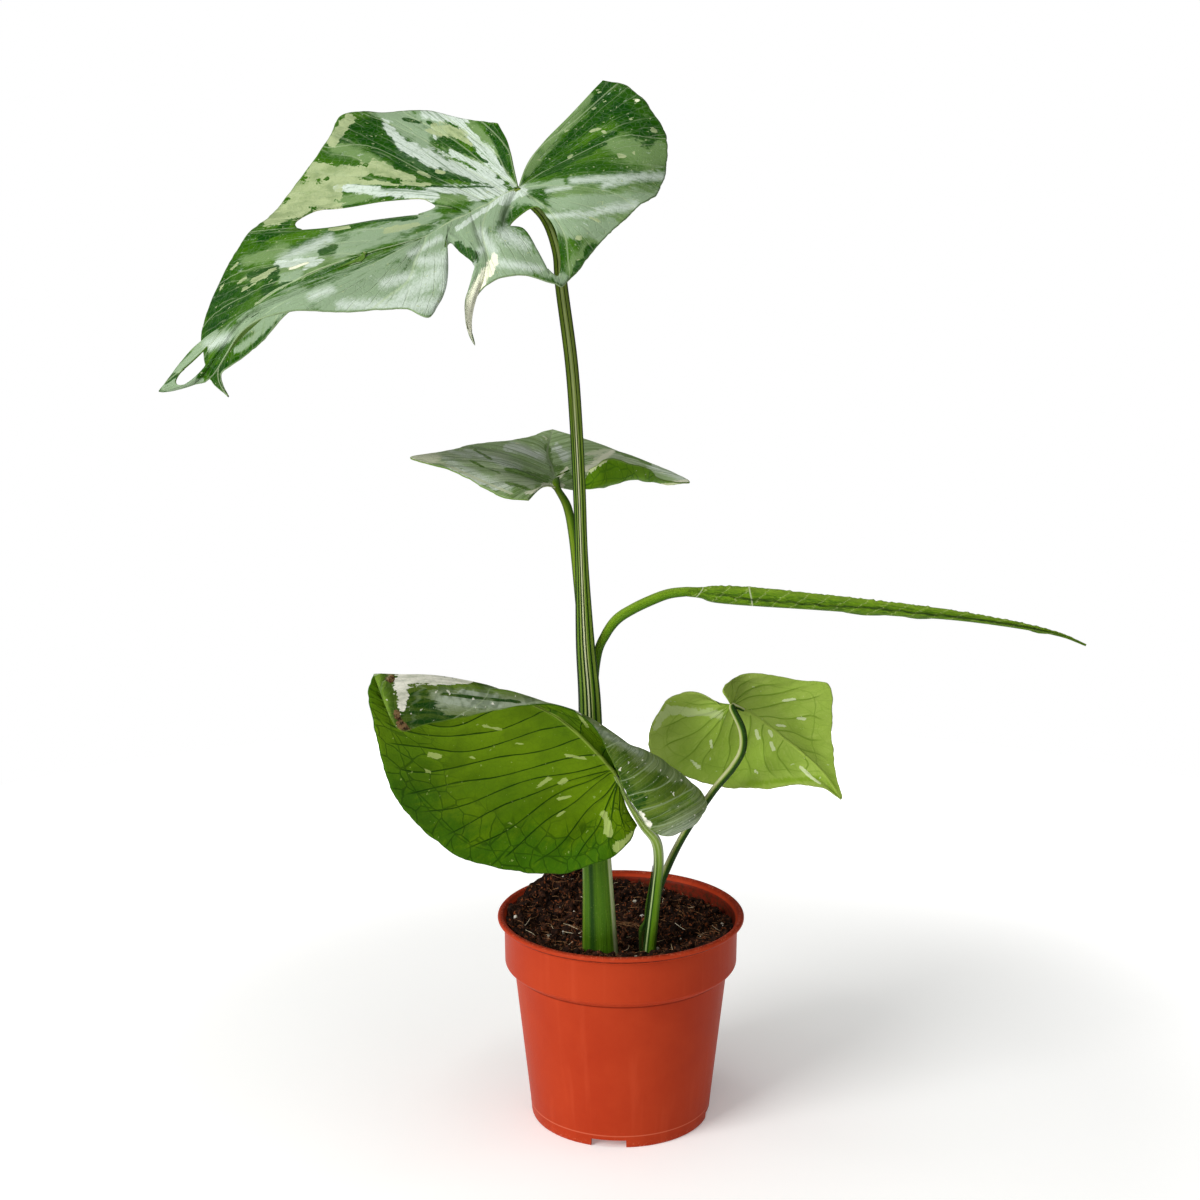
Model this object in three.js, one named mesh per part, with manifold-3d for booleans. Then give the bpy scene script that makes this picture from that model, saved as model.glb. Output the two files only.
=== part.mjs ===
// A potted monstera with variegated leaves: a plastic nursery pot, its soil, and one young
// plant with a split top leaf, three heart-shaped leaves and one leaf that is still rolled up.
// Units are millimetres. +Z is up, the pot's axis is the Z axis, and the pot stands on z = 0.
import * as THREE from 'three';
import { mergeVertices } from 'three/addons/utils/BufferGeometryUtils.js';
import Module from 'manifold-3d';

const wasm = await Module();
wasm.setup();

// Driving dimensions
const GAP = 0.35; // clearance between pieces that touch
const BLADE_THICKNESS = 0.8;

const POT_HEIGHT = 103.5;
const POT_WALL = 1.3;
const LIP_RADIUS = 60.3; // a 12 cm pot
const LIP_HEIGHT = 2.6;
const BAND_RADIUS = 56.8;
const BAND_BOTTOM = 79;
const BODY_TOP = 76;
const BODY_TOP_RADIUS = 52.2;
const FOOT_RADIUS = 43.9;
const FLOOR_UNDERSIDE = 3.2;
const FLOOR_TOP = 4.8;
const PAD_RADIUS = 8; // round pad in the middle of the floor, level with the foot ring
const NOTCH_WIDTH = 17;
const NOTCH_HEIGHT = 4;
const NOTCH_COUNT = 4;
const NOTCH_TURN = -98; // degrees from +X to the first notch, just left of the front
const DRAIN_RADIUS = 4;
const DRAIN_CIRCLE = 27;
const DRAIN_COUNT = 8;
const POT_SIDES = 48;

const SOIL_LEVEL = 95.5;
const SOIL_LUMP = 1.3;

const PETIOLE_FOOT = 80.4; // height where the petioles leave the buried stem
const STEM_RADIUS = 8;

// Helpers for closed shapes
const vector = ([x, y, z]) => new THREE.Vector3(x, y, z);

const lineThrough = (points) => new THREE.CatmullRomCurve3(points, false, 'catmullrom', 0.5);

function geometryFrom(positions, triangles) {
  const geometry = new THREE.BufferGeometry();
  geometry.setAttribute('position', new THREE.Float32BufferAttribute(positions, 3));
  geometry.setIndex(triangles);
  return geometry;
}

function weld(geometry) {
  const bare = geometry.clone();
  bare.deleteAttribute('normal');
  bare.deleteAttribute('uv');
  return mergeVertices(bare, 1e-4);
}

function toSolid(geometry) {
  const welded = weld(geometry);
  const mesh = new wasm.Mesh({
    numProp: 3,
    vertProperties: new Float32Array(welded.attributes.position.array),
    triVerts: new Uint32Array(welded.index.array),
  });
  return new wasm.Manifold(mesh);
}

function fromSolid(solid) {
  const mesh = solid.getMesh();
  return geometryFrom(Array.from(mesh.vertProperties), Array.from(mesh.triVerts));
}

// Joins rings of equal length into one closed skin, with a flat cap at each end.
function loft(rings) {
  const sides = rings[0].length;
  const positions = rings.flat().flatMap((point) => point.toArray());
  const triangles = [];
  for (let i = 0; i + 1 < rings.length; i += 1) {
    for (let k = 0; k < sides; k += 1) {
      const a = i * sides + k;
      const b = i * sides + ((k + 1) % sides);
      triangles.push(a, b, b + sides, a, b + sides, a + sides);
    }
  }
  const last = (rings.length - 1) * sides;
  for (let k = 1; k + 1 < sides; k += 1) {
    triangles.push(0, k + 1, k);
    triangles.push(last, last + k, last + k + 1);
  }
  return geometryFrom(positions, triangles);
}

// The pot
function bodyRadius(z) {
  return FOOT_RADIUS + (BODY_TOP_RADIUS - FOOT_RADIUS) * (z / BODY_TOP);
}

function innerRadius(z) {
  if (z <= BODY_TOP) return bodyRadius(z) - POT_WALL;
  const share = Math.min((z - BODY_TOP) / (BAND_BOTTOM - BODY_TOP), 1);
  return THREE.MathUtils.lerp(BODY_TOP_RADIUS, BAND_RADIUS, share) - POT_WALL;
}

function potShell() {
  const lipBottom = POT_HEIGHT - LIP_HEIGHT;
  const profile = [
    [0, 0],
    [PAD_RADIUS, 0],
    [PAD_RADIUS + 0.6, FLOOR_UNDERSIDE],
    [FOOT_RADIUS - 2.2, FLOOR_UNDERSIDE],
    [FOOT_RADIUS - 1.9, 0],
    [FOOT_RADIUS - 0.2, 0],
    [FOOT_RADIUS + 0.3, 1.2],
    [bodyRadius(8), 8],
    [bodyRadius(42), 42],
    [BODY_TOP_RADIUS, BODY_TOP],
    [BAND_RADIUS - 0.8, BAND_BOTTOM - 0.6],
    [BAND_RADIUS, BAND_BOTTOM + 0.6],
    [BAND_RADIUS + 0.2, lipBottom - 1.4],
    [LIP_RADIUS - 1, lipBottom - 0.3],
    [LIP_RADIUS, lipBottom + 0.7],
    [LIP_RADIUS - 0.1, POT_HEIGHT - 0.8],
    [LIP_RADIUS - 1, POT_HEIGHT],
    [LIP_RADIUS - 2.6, POT_HEIGHT - 0.2],
    [innerRadius(lipBottom) + 0.2, lipBottom - 0.6],
    [innerRadius(BAND_BOTTOM), BAND_BOTTOM],
    [innerRadius(BODY_TOP), BODY_TOP],
    [innerRadius(FLOOR_TOP + 2), FLOOR_TOP + 2],
    [innerRadius(FLOOR_TOP) - 2, FLOOR_TOP],
    [0, FLOOR_TOP],
  ];
  return new THREE.LatheGeometry(profile.map(([r, z]) => new THREE.Vector2(r, z)), POT_SIDES)
    .rotateX(Math.PI / 2);
}

function footNotch(turn) {
  return new THREE.BoxGeometry(NOTCH_WIDTH, 14, 2 * NOTCH_HEIGHT)
    .translate(0, -FOOT_RADIUS, 0)
    .rotateZ(turn + Math.PI / 2);
}

function drainHole(turn) {
  return new THREE.CylinderGeometry(DRAIN_RADIUS, DRAIN_RADIUS, 3 * FLOOR_TOP, 12)
    .rotateX(Math.PI / 2)
    .translate(DRAIN_CIRCLE * Math.cos(turn), DRAIN_CIRCLE * Math.sin(turn), FLOOR_TOP);
}

function pot() {
  let solid = toSolid(potShell());
  for (let i = 0; i < NOTCH_COUNT; i += 1) {
    const turn = THREE.MathUtils.degToRad(NOTCH_TURN) + (i * 2 * Math.PI) / NOTCH_COUNT;
    solid = solid.subtract(toSolid(footNotch(turn)));
  }
  for (let i = 0; i < DRAIN_COUNT; i += 1) {
    solid = solid.subtract(toSolid(drainHole(((i + 0.5) * 2 * Math.PI) / DRAIN_COUNT)));
  }
  return fromSolid(solid);
}

// Petioles and other stalks: a smooth path, with the half width (sideways) and half depth (front
// to back) at each of its points. The section is an ellipse. grow makes it wider all round and
// longer at both ends, for the hole that clears it.
function stalk({ path, half, sides = 10, perSpan = 2 }, grow = 0) {
  const axis = lineThrough(path.map(vector));
  const size = lineThrough(half.map(([width, depth]) => new THREE.Vector3(width, depth, 0)));
  const steps = perSpan * (path.length - 1);
  const rings = [];
  for (let i = 0; i <= steps; i += 1) {
    const along = axis.getTangent(i / steps);
    const depth = new THREE.Vector3(0, 1, 0).addScaledVector(along, -along.y).normalize();
    const across = depth.clone().cross(along);
    const centre = axis.getPoint(i / steps);
    if (i === 0) centre.addScaledVector(along, -grow);
    if (i === steps) centre.addScaledVector(along, grow);
    const { x: halfWidth, y: halfDepth } = size.getPoint(i / steps);
    const ring = [];
    for (let k = 0; k < sides; k += 1) {
      const turn = (k * 2 * Math.PI) / sides;
      ring.push(centre.clone()
        .addScaledVector(across, (halfWidth + grow) * Math.cos(turn))
        .addScaledVector(depth, (halfDepth + grow) * Math.sin(turn)));
    }
    rings.push(ring);
  }
  return loft(rings);
}

// Leaf 1's petiole is the stout one. Its base is a sheath, and the petioles of leaf 2 and of the
// rolled leaf rise side by side in a channel in its back.
const petiole1 = {
  sides: 14,
  path: [
    [-9.5, -38, PETIOLE_FOOT], [-10, -38, 96], [-11.5, -38, 139], [-14, -38, 183], [-15, -38, 221],
    [-17, -38, 249], [-18.5, -38, 287], [-19.5, -39, 319], [-21, -40, 351], [-23, -42, 378],
    [-27, -46, 410], [-28.5, -47, 426], [-34, -43.5, 440], [-44.6, -39.5, 449.6],
  ],
  half: [
    [8.8, 5.2], [8.6, 5.2], [6.9, 5], [6, 4.8], [5.2, 4.4],
    [4.3, 4], [3, 3.2], [2.9, 3], [2.9, 2.9], [2.9, 2.8],
    [2.6, 2.6], [2.4, 2.5], [2.2, 2.3], [2, 2],
  ],
};

const petiole2 = {
  path: [
    [-12, -34.3, PETIOLE_FOOT], [-13.4, -34.3, 139], [-16, -33.8, 183], [-17.2, -33.2, 221],
    [-18.4, -32.6, 249], [-20.4, -31.6, 275], [-22.5, -30, 296], [-25, -27.5, 309], [-29.2, -24.6, 316.4],
  ],
  half: [[1.8, 1.8], [1.8, 1.8], [1.8, 1.8], [1.8, 1.8], [1.9, 1.9], [2, 2], [2, 2], [2, 2], [1.6, 1.6]],
};

const rolledPetiole = {
  path: [
    [-7.8, -34.3, PETIOLE_FOOT], [-9.3, -34.3, 139], [-12, -33.8, 183], [-12.9, -33.2, 221],
    [-11.4, -33, 241], [-7.6, -34, 251], [-2.6, -36, 258.5], [4.2, -37.4, 263.5], [13, -38, 268],
    [21, -38, 271], [28.6, -38, 272],
  ],
  half: [
    [1.8, 1.8], [1.8, 1.8], [1.8, 1.8], [1.8, 1.8], [2, 1.9], [2.2, 2], [2.4, 2.2], [2.4, 2.3], [2.4, 2.3],
    [2.3, 2.3], [2.2, 2.2],
  ],
};

const petiole3 = {
  path: [
    [13, -38, PETIOLE_FOOT], [13, -38, 97], [16, -39, 129], [17.2, -40, 144], [15.8, -41.2, 154],
    [10.6, -42.4, 161], [7, -44.5, 167], [3.4, -46.6, 173.5], [0.4, -48.4, 180], [-1.4, -49.6, 184.6],
  ],
  half: [
    [3.2, 3], [3.1, 2.9], [2.6, 2.4], [2.4, 2.3], [2.4, 2.3], [2, 1.9], [1.6, 1.6], [1.2, 1.3], [1.1, 1.2], [1.1, 1.1],
  ],
};

const petiole4 = {
  path: [
    [14.5, -30.5, PETIOLE_FOOT], [15, -30, 104], [17, -29, 122], [20.6, -29, 134], [29, -31, 153],
    [42, -34, 175], [51.4, -36, 188], [55.8, -36.6, 197], [55.6, -34.6, 206], [51.4, -27, 214.4],
  ],
  half: [
    [2.1, 2.1], [2, 2], [1.9, 1.9], [1.9, 1.8], [1.8, 1.8], [1.8, 1.8], [1.8, 1.8], [1.8, 1.8], [1.8, 1.8],
    [1.5, 1.5],
  ],
};

// The thin scrap left between the two channels is dropped.
function sheathedPetiole() {
  const channel = toSolid(stalk(petiole2, GAP)).add(toSolid(stalk(rolledPetiole, GAP)));
  const bodies = toSolid(stalk(petiole1)).subtract(channel).decompose();
  return fromSolid(bodies.reduce((a, b) => (b.volume() > a.volume() ? b : a)));
}

// Blades. The midrib is a smooth line through its stations, from the petiole to the tip. A rib
// leaves the midrib at a station and runs out to the margin, so the margin is the smooth line
// through the ribs' ends. A short rib makes a notch, and a hole lies between two ribs.
// fan is the number of strips between two ribs of one station.
function holeSpan({ from, to, round }, share) {
  const inset = round * (1 - Math.sqrt(Math.max(0, 1 - (2 * share - 1) ** 2)));
  return [from + inset, to - inset];
}

function rowPlace(row, rows, edges, span) {
  if (!edges) return row / rows;
  const [first, last] = edges;
  if (row <= first) return (span[0] * row) / first;
  if (row >= last) return span[1] + ((1 - span[1]) * (row - last)) / (rows - last);
  return THREE.MathUtils.lerp(span[0], span[1], (row - first) / (last - first));
}

function halfSheet(midrib, ribs, rows, mirrored) {
  const lines = ribs.map(({ at, through = [] }) => {
    const start = midrib.getPoint(at);
    return lineThrough([start, ...(through.length ? through.map(vector) : [start])]);
  });
  const columns = [];
  const open = [];
  for (let r = 0; r + 1 < ribs.length; r += 1) {
    const here = ribs[r];
    const next = ribs[r + 1];
    const strips = next.at > here.at ? midrib.stripsBetween(here.at, next.at) : here.strips ?? 1;
    const edges = here.hole
      && [here.hole.from, here.hole.to].map((share) => Math.min(Math.round(share * rows), rows - 1));
    const lastColumn = r + 2 === ribs.length ? strips : strips - 1;
    for (let k = 0; k <= lastColumn; k += 1) {
      const share = k / strips;
      const span = here.hole && holeSpan(here.hole, share);
      const column = [midrib.getPoint(THREE.MathUtils.lerp(here.at, next.at, share))];
      for (let row = 1; row <= rows; row += 1) {
        const place = rowPlace(row, rows, edges, span);
        const across = lineThrough(lines.map((line) => line.getPoint(place)));
        column.push(across.getPoint((r + share) / (ribs.length - 1)));
      }
      open.push(edges && k < strips ? edges : null);
      columns.push(column);
    }
  }
  const sheet = { positions: columns.flat(), triangles: [] };
  for (let c = 0; c + 1 < columns.length; c += 1) {
    for (let row = 0; row < rows; row += 1) {
      if (open[c] && row >= open[c][0] && row < open[c][1]) continue;
      const a = c * (rows + 1) + row;
      const b = a + rows + 1;
      const quad = [a, b, b + 1, a, b + 1, a + 1];
      sheet.triangles.push(...(mirrored ? quad.reverse() : quad));
    }
  }
  return sheet;
}

// Both halves share the midrib's points. The sheet gets its thickness along its own normals, with
// the same triangles on both faces.
function blade({ midrib: stations, left, right, rows = 8, bend = 1 }) {
  const curve = lineThrough(stations.map(vector));
  const spans = stations.length - 1;
  const midrib = {
    getPoint: (at) => curve.getPoint(at / spans),
    stripsBetween: (from, to) => bend * (to - from),
  };
  const tip = { at: spans };
  const halves = [
    halfSheet(midrib, [...left, tip], rows, false),
    halfSheet(midrib, [...right, tip], rows, true),
  ];
  const positions = halves.flatMap((half) => half.positions.flatMap((point) => point.toArray()));
  const offset = halves[0].positions.length;
  const triangles = [...halves[0].triangles, ...halves[1].triangles.map((index) => index + offset)];
  return thicken(weld(geometryFrom(positions, triangles)), BLADE_THICKNESS);
}

function thicken(sheet, thickness) {
  const index = Array.from(sheet.index.array);
  const faces = [];
  for (let i = 0; i < index.length; i += 3) {
    const [a, b, c] = index.slice(i, i + 3);
    if (a !== b && b !== c && c !== a) faces.push([a, b, c]);
  }
  sheet.setIndex(faces.flat());
  sheet.computeVertexNormals();
  const count = sheet.attributes.position.count;
  const positions = [];
  for (const side of [0.5, -0.5]) {
    for (let i = 0; i < count; i += 1) {
      const point = new THREE.Vector3().fromBufferAttribute(sheet.attributes.position, i);
      const normal = new THREE.Vector3().fromBufferAttribute(sheet.attributes.normal, i);
      positions.push(...point.addScaledVector(normal, side * thickness).toArray());
    }
  }
  const directed = new Set(faces.flatMap(([a, b, c]) => [`${a} ${b}`, `${b} ${c}`, `${c} ${a}`]));
  const triangles = [];
  for (const [a, b, c] of faces) {
    triangles.push(a, b, c, a + count, c + count, b + count);
    for (const [p, q] of [[a, b], [b, c], [c, a]]) {
      if (!directed.has(`${q} ${p}`)) triangles.push(p, p + count, q, q, p + count, q + count);
    }
  }
  return geometryFrom(positions, triangles);
}

// Leaf 1, at the top: it arches over to the left, towards the viewer and down. Its far half has
// one long opening, and its near half is cut into lobes.
const leaf1 = {
  rows: 9,
  midrib: [
    [-46, -38, 452], [-51, -43, 450], [-58, -50, 446], [-66, -58, 442], [-75, -68, 438], [-84, -78, 433],
    [-107, -95, 427], [-130, -100, 419], [-152, -93, 407], [-167, -80, 389], [-174, -70, 374],
    [-171, -64, 364],
  ],
  left: [
    { at: 0, through: [[-49, -20, 462], [-52, -2, 472], [-57, 15, 480]] },
    { at: 0, through: [[-52, -18, 460], [-58, 5, 469], [-74, 38, 482]] },
    { at: 0, through: [[-57, -14, 459], [-72, 18, 470], [-94, 55, 486]] },
    { at: 1, through: [[-66, -10, 458], [-86, 26, 471], [-112, 55, 485]] },
    { at: 2, through: [[-79, -12, 457], [-103, 24, 470], [-131, 46, 484]] },
    { at: 2, through: [[-86, -20, 454], [-112, 10, 463], [-138, 25, 470]] },
    { at: 3, strips: 5, hole: { from: 0.26, to: 0.87, round: 0.08 },
      through: [[-82, -41, 447], [-104, -26, 446], [-130, -11, 442], [-157, 0, 442]] },
    { at: 3, through: [[-84, -50, 441], [-108, -40, 438], [-134, -31, 434], [-167, -16, 432]] },
    { at: 6, through: [[-136, -62, 424], [-175, -28, 419]] },
    { at: 7, through: [[-155, -70, 414], [-181, -38, 404]] },
    { at: 8, through: [[-168, -70, 398], [-185, -46, 389]] },
    { at: 9, through: [[-176, -66, 382], [-181, -58, 376]] },
    { at: 10, through: [[-177, -66, 370]] },
  ],
  right: [
    { at: 0, through: [[-42, -25, 463], [-35, -8, 472], [-23, 8, 484], [-9, 24, 499]] },
    { at: 0, through: [[-36, -23, 462], [-24, -8, 471], [-9, 8, 484], [5, 20, 495]] },
    { at: 0, through: [[-33, -26, 460], [-18, -16, 468], [1, -6, 477], [17, 4, 480]] },
    { at: 0, through: [[-32, -35, 458], [-15, -32, 464], [4, -24, 467], [20, -14, 468]] },
    { at: 0, through: [[-32, -43, 455], [-16, -49, 457], [1, -48, 456], [16, -42, 452]] },
    { at: 0, through: [[-34, -52, 451], [-20, -64, 450], [-7, -66, 447], [6, -64, 445]] },
    { at: 0, through: [[-36, -58, 448], [-26, -76, 443], [-17, -84, 438], [-9, -88, 432]] },
    { at: 0, through: [[-38, -58, 448], [-30, -76, 443], [-23, -92, 433], [-18, -101, 422]] },
    { at: 0, strips: 5, hole: { from: 0.3, to: 0.95, round: 0.08 },
      through: [[-39, -58, 447], [-33, -74, 442], [-28, -90, 434], [-25, -108, 415]] },
    { at: 0, through: [[-51, -62, 438], [-42, -80, 436], [-36, -95, 428], [-29, -110, 416]] },
    { at: 1, through: [[-53, -75, 437], [-47, -99, 428], [-40, -112, 419]] },
    { at: 2, through: [[-59, -80, 435], [-55, -102, 425], [-51, -113, 418]] },
    { at: 3, through: [[-63, -82, 434], [-60, -103, 424], [-59, -114, 413]] },
    { at: 3, through: [[-64, -84, 434], [-61, -106, 424], [-61, -117, 408], [-62, -113, 392]] },
    { at: 3, through: [[-65, -82, 434], [-62, -104, 424], [-62, -115, 414], [-65, -115, 401]] },
    { at: 3, through: [[-67, -78, 435], [-63, -98, 427], [-61, -112, 417]] },
    { at: 3, through: [[-69, -76, 435], [-66, -90, 429], [-62, -102, 423]] },
    { at: 3, through: [[-71, -74, 434], [-71, -82, 432], [-68, -90, 427]] },
    { at: 4, through: [[-75, -76, 434], [-74, -84, 430]] },
    { at: 4, through: [[-75, -88, 429], [-74, -105, 424], [-73, -124, 414], [-76, -138, 406]] },
    { at: 5, through: [[-85, -100, 425], [-86, -118, 417], [-88, -138, 408]] },
    { at: 5, through: [[-93, -106, 424], [-101, -124, 415], [-111, -139, 407]] },
    { at: 5, through: [[-99, -108, 423], [-113, -126, 416], [-133, -140, 407]] },
    { at: 5, through: [[-104, -108, 423], [-128, -128, 413], [-151, -136, 400]] },
    { at: 5, through: [[-108, -108, 422], [-137, -128, 409], [-152, -131, 401], [-165, -132, 381]] },
    { at: 5, through: [[-109, -107, 422], [-134, -125, 411], [-152, -130, 402], [-167, -130, 384], [-175, -126, 376]] },
    { at: 5, strips: 3, hole: { from: 0.74, to: 0.91, round: 0.03 },
      through: [[-110, -106, 422], [-132, -122, 414], [-153, -130, 404], [-171, -129, 381], [-188, -121, 373]] },
    { at: 5, through: [[-112, -104, 422], [-135, -118, 414], [-156, -125, 403], [-171, -124, 389], [-187, -120, 376]] },
    { at: 6, through: [[-132, -113, 416], [-152, -119, 405], [-171, -118, 394]] },
    { at: 6, through: [[-125, -109, 419], [-144, -112, 409]] },
    { at: 6, through: [[-114, -104, 423], [-123, -107, 419]] },
    { at: 6, through: [[-107, -98, 425], [-108, -101, 424]] },
    { at: 6, through: [[-114, -100, 423], [-122, -106, 415]] },
    { at: 7, through: [[-135, -103, 411], [-139, -104, 403]] },
    { at: 8, through: [[-153, -93, 398], [-154, -93, 388]] },
    { at: 9, through: [[-168, -81, 383], [-170, -81, 377]] },
    { at: 10, through: [[-172, -73, 371]] },
  ],
};

// Leaf 2, behind the petiole: heart-shaped, pointing away from the viewer, with its sides rolled.
const leaf2 = {
  rows: 7,
  bend: 2,
  midrib: [[-30, -24, 318], [-31.5, -10, 320], [-33, 6, 322], [-36, 40, 324], [-34, 78, 330]],
  left: [
    { at: 0, through: [[-34, -32, 320], [-37, -42, 320], [-42, -56, 317]] },
    { at: 0, through: [[-39, -37, 321], [-47, -47, 321], [-55, -54, 319]] },
    { at: 0, through: [[-43, -31, 322], [-54, -37, 324], [-66, -42, 323]] },
    { at: 0, through: [[-46, -24, 323], [-62, -25, 326], [-79, -30, 327]] },
    { at: 0, through: [[-55, -14, 327], [-76, -15, 329], [-97, -16, 330]] },
    { at: 1, through: [[-50, -2, 326], [-67, 4, 328], [-84, 2, 330]] },
    { at: 2, through: [[-46, 16, 326], [-58, 26, 328], [-70, 27, 330]] },
    { at: 3, through: [[-42, 46, 327], [-51, 50, 329]] },
  ],
  right: [
    { at: 0, through: [[-24, -19, 316], [-18, -20, 319], [-15, -22, 326]] },
    { at: 0, through: [[-22, -19, 316], [-12, -22, 317], [-6, -26, 322], [-7, -26, 331]] },
    { at: 0, through: [[-19, -14, 317], [-7, -14, 317], [3, -20, 321], [3, -24, 329]] },
    { at: 0, through: [[-18, -8, 320], [-3, -3, 321], [11, -8, 318], [13, -13, 324]] },
    { at: 1, through: [[-16, 4, 323], [2, 8, 321], [16, 4, 315], [18, -3, 318]] },
    { at: 1, through: [[-14, 10, 324], [4, 16, 322], [20, 14, 314], [32, 12, 314]] },
    { at: 2, through: [[-14, 22, 325], [4, 32, 322], [23, 28, 317]] },
    { at: 3, through: [[-16, 50, 327], [0, 54, 322]] },
  ],
};

// Leaf 3, low in front: it shows its underside, and its far half is turned over towards the
// viewer, along the top edge and again as a cone above the petiole.
const leaf3 = {
  rows: 8,
  midrib: [
    [-2, -50, 187], [-5, -52, 192], [-10, -56, 199], [-21, -64, 213], [-34, -74, 226], [-54, -86, 237],
    [-79, -102, 246], [-95, -112, 251], [-105, -118, 254],
  ],
  left: [
    { at: 0, through: [[2, -48, 173], [7, -46, 163]] },
    { at: 0, through: [[-3, -51, 170], [2, -53, 156]] },
    { at: 0, through: [[-7, -51, 168], [-10, -62, 151]] },
    { at: 0, through: [[-15, -52, 169], [-29, -69, 148]] },
    { at: 1, through: [[-26, -57, 177], [-52, -77, 153]] },
    { at: 1, through: [[-38, -62, 184], [-74, -86, 163]] },
    { at: 2, through: [[-50, -71, 193], [-91, -96, 182]] },
    { at: 3, through: [[-62, -80, 205], [-101, -106, 202]] },
    { at: 4, through: [[-70, -88, 217], [-105, -113, 225]] },
    { at: 5, through: [[-79, -97, 228], [-107, -118, 241]] },
    { at: 6, through: [[-93, -107, 239], [-107, -119, 248]] },
  ],
  right: [
    { at: 0, through: [[8, -42, 174], [22, -40, 167], [33, -44, 164], [31, -52, 165]] },
    { at: 0, through: [[13, -40, 176], [31, -38, 170], [38, -47, 171], [33, -57, 168], [22, -60, 163]] },
    { at: 0, through: [[13, -39, 182], [30, -38, 180], [38, -48, 177], [28, -61, 174], [13, -62, 166]] },
    { at: 1, through: [[9, -42, 191], [21, -41, 190], [28, -49, 186], [19, -61, 181], [6, -61, 176]] },
    { at: 1, through: [[3, -45, 197], [13, -46, 198], [17, -53, 195], [10, -62, 190], [2, -60, 184]] },
    { at: 2, through: [[-4, -52, 204], [3, -53, 204], [5, -58, 203], [0, -64, 201], [-4, -64, 197]] },
    { at: 3, through: [[-16, -62, 217], [-13, -65, 219], [-13, -69, 217]] },
    { at: 4, through: [[-31, -76, 229], [-29, -80, 230]] },
    { at: 5, through: [[-53, -87, 239], [-52, -92, 238], [-54, -95, 232]] },
    { at: 6, through: [[-79, -104, 249], [-82, -110, 243], [-84, -111, 230]] },
    { at: 7, through: [[-96, -115, 252], [-98, -119, 245], [-96, -118, 231]] },
  ],
};

// Leaf 4, at the right: heart-shaped, with its underside to the viewer.
const leaf4 = {
  rows: 6,
  midrib: [[51, -26, 215], [59, -22, 211], [67, -20, 205], [78, -20, 196], [93, -24, 184], [103, -31, 171]],
  left: [
    { at: 0, through: [[48, -22, 212], [44, -18, 215]] },
    { at: 0, through: [[44, -13, 214], [34, -12, 218]] },
    { at: 0, through: [[37, -8, 208], [21, -8, 212]] },
    { at: 0, through: [[35, -6, 198], [13, -8, 193]] },
    { at: 0, through: [[39, -8, 192], [20, -12, 181]] },
    { at: 0, through: [[45, -10, 189], [34, -18, 177]] },
    { at: 1, through: [[56, -12, 188], [50, -23, 174]] },
    { at: 2, through: [[66, -14, 189], [67, -27, 175]] },
    { at: 3, through: [[76, -18, 185], [81, -28, 177]] },
    { at: 4, through: [[92, -25, 180], [94, -30, 176]] },
  ],
  right: [
    { at: 0, through: [[49, -30, 220], [47, -30, 223], [48, -26, 225]] },
    { at: 0, through: [[52, -21, 221], [53, -16, 225], [57, -11, 226]] },
    { at: 0, through: [[57, -14, 219], [63, -9, 222], [70, -6, 225]] },
    { at: 0, through: [[63, -12, 216], [75, -6, 217], [86, -3, 221]] },
    { at: 1, through: [[75, -10, 210], [89, -6, 214], [99, -4, 219]] },
    { at: 2, through: [[84, -12, 202], [100, -9, 206]] },
    { at: 3, through: [[91, -16, 191], [100, -15, 191]] },
    { at: 4, through: [[98, -23, 182], [101, -22, 182]] },
  ],
};

// The newest leaf is still rolled up, like a spindle that narrows to a hooked tip.
const rolledLeaf = {
  sides: 12,
  path: [
    [29.4, -38, 272], [36, -38, 271.6], [42, -38, 271], [59, -38, 270], [94, -38, 267], [125, -38, 264],
    [153, -38, 261], [181, -38, 256.5], [200, -38, 252], [212, -38, 247],
  ],
  half: [
    [2.2, 2.2], [2.6, 2.6], [3.9, 3.6], [4.3, 4], [3.6, 3.6], [3.1, 3.2],
    [2.2, 2.4], [1.5, 1.7], [0.9, 1.1], [0.5, 0.5],
  ],
};

// The buried stem lies on its side under the soil and carries all five petioles.
const STEM_AXIS = PETIOLE_FOOT - GAP - STEM_RADIUS;
const buriedStem = {
  sides: 12,
  path: [[-24, -35, 71], [-13, -35.6, STEM_AXIS], [0, -36, STEM_AXIS], [12, -35, STEM_AXIS], [22, -34, 71]],
  half: [[4, 4], [7.4, 7.4], [STEM_RADIUS, STEM_RADIUS], [7, 7], [4, 4]],
};

const petioles = {
  leaf_1_petiole: petiole1,
  leaf_2_petiole: petiole2,
  rolled_leaf_petiole: rolledPetiole,
  leaf_3_petiole: petiole3,
  leaf_4_petiole: petiole4,
};

// The soil fills the pot up to a little below the lip. Its top is lumpy, and it is heaped against
// the rim at the back left.
function soilHeight(x, y) {
  const lumps = Math.sin(x * 0.41 + 1.3) * Math.cos(y * 0.37 - 0.6) + 0.6 * Math.sin(x * 0.83 - y * 0.71);
  const heap = 8.5 * Math.exp(-(((x + 27) ** 2) / 520 + ((y - 44) ** 2) / 300));
  return SOIL_LEVEL + SOIL_LUMP * lumps + heap;
}

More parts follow.
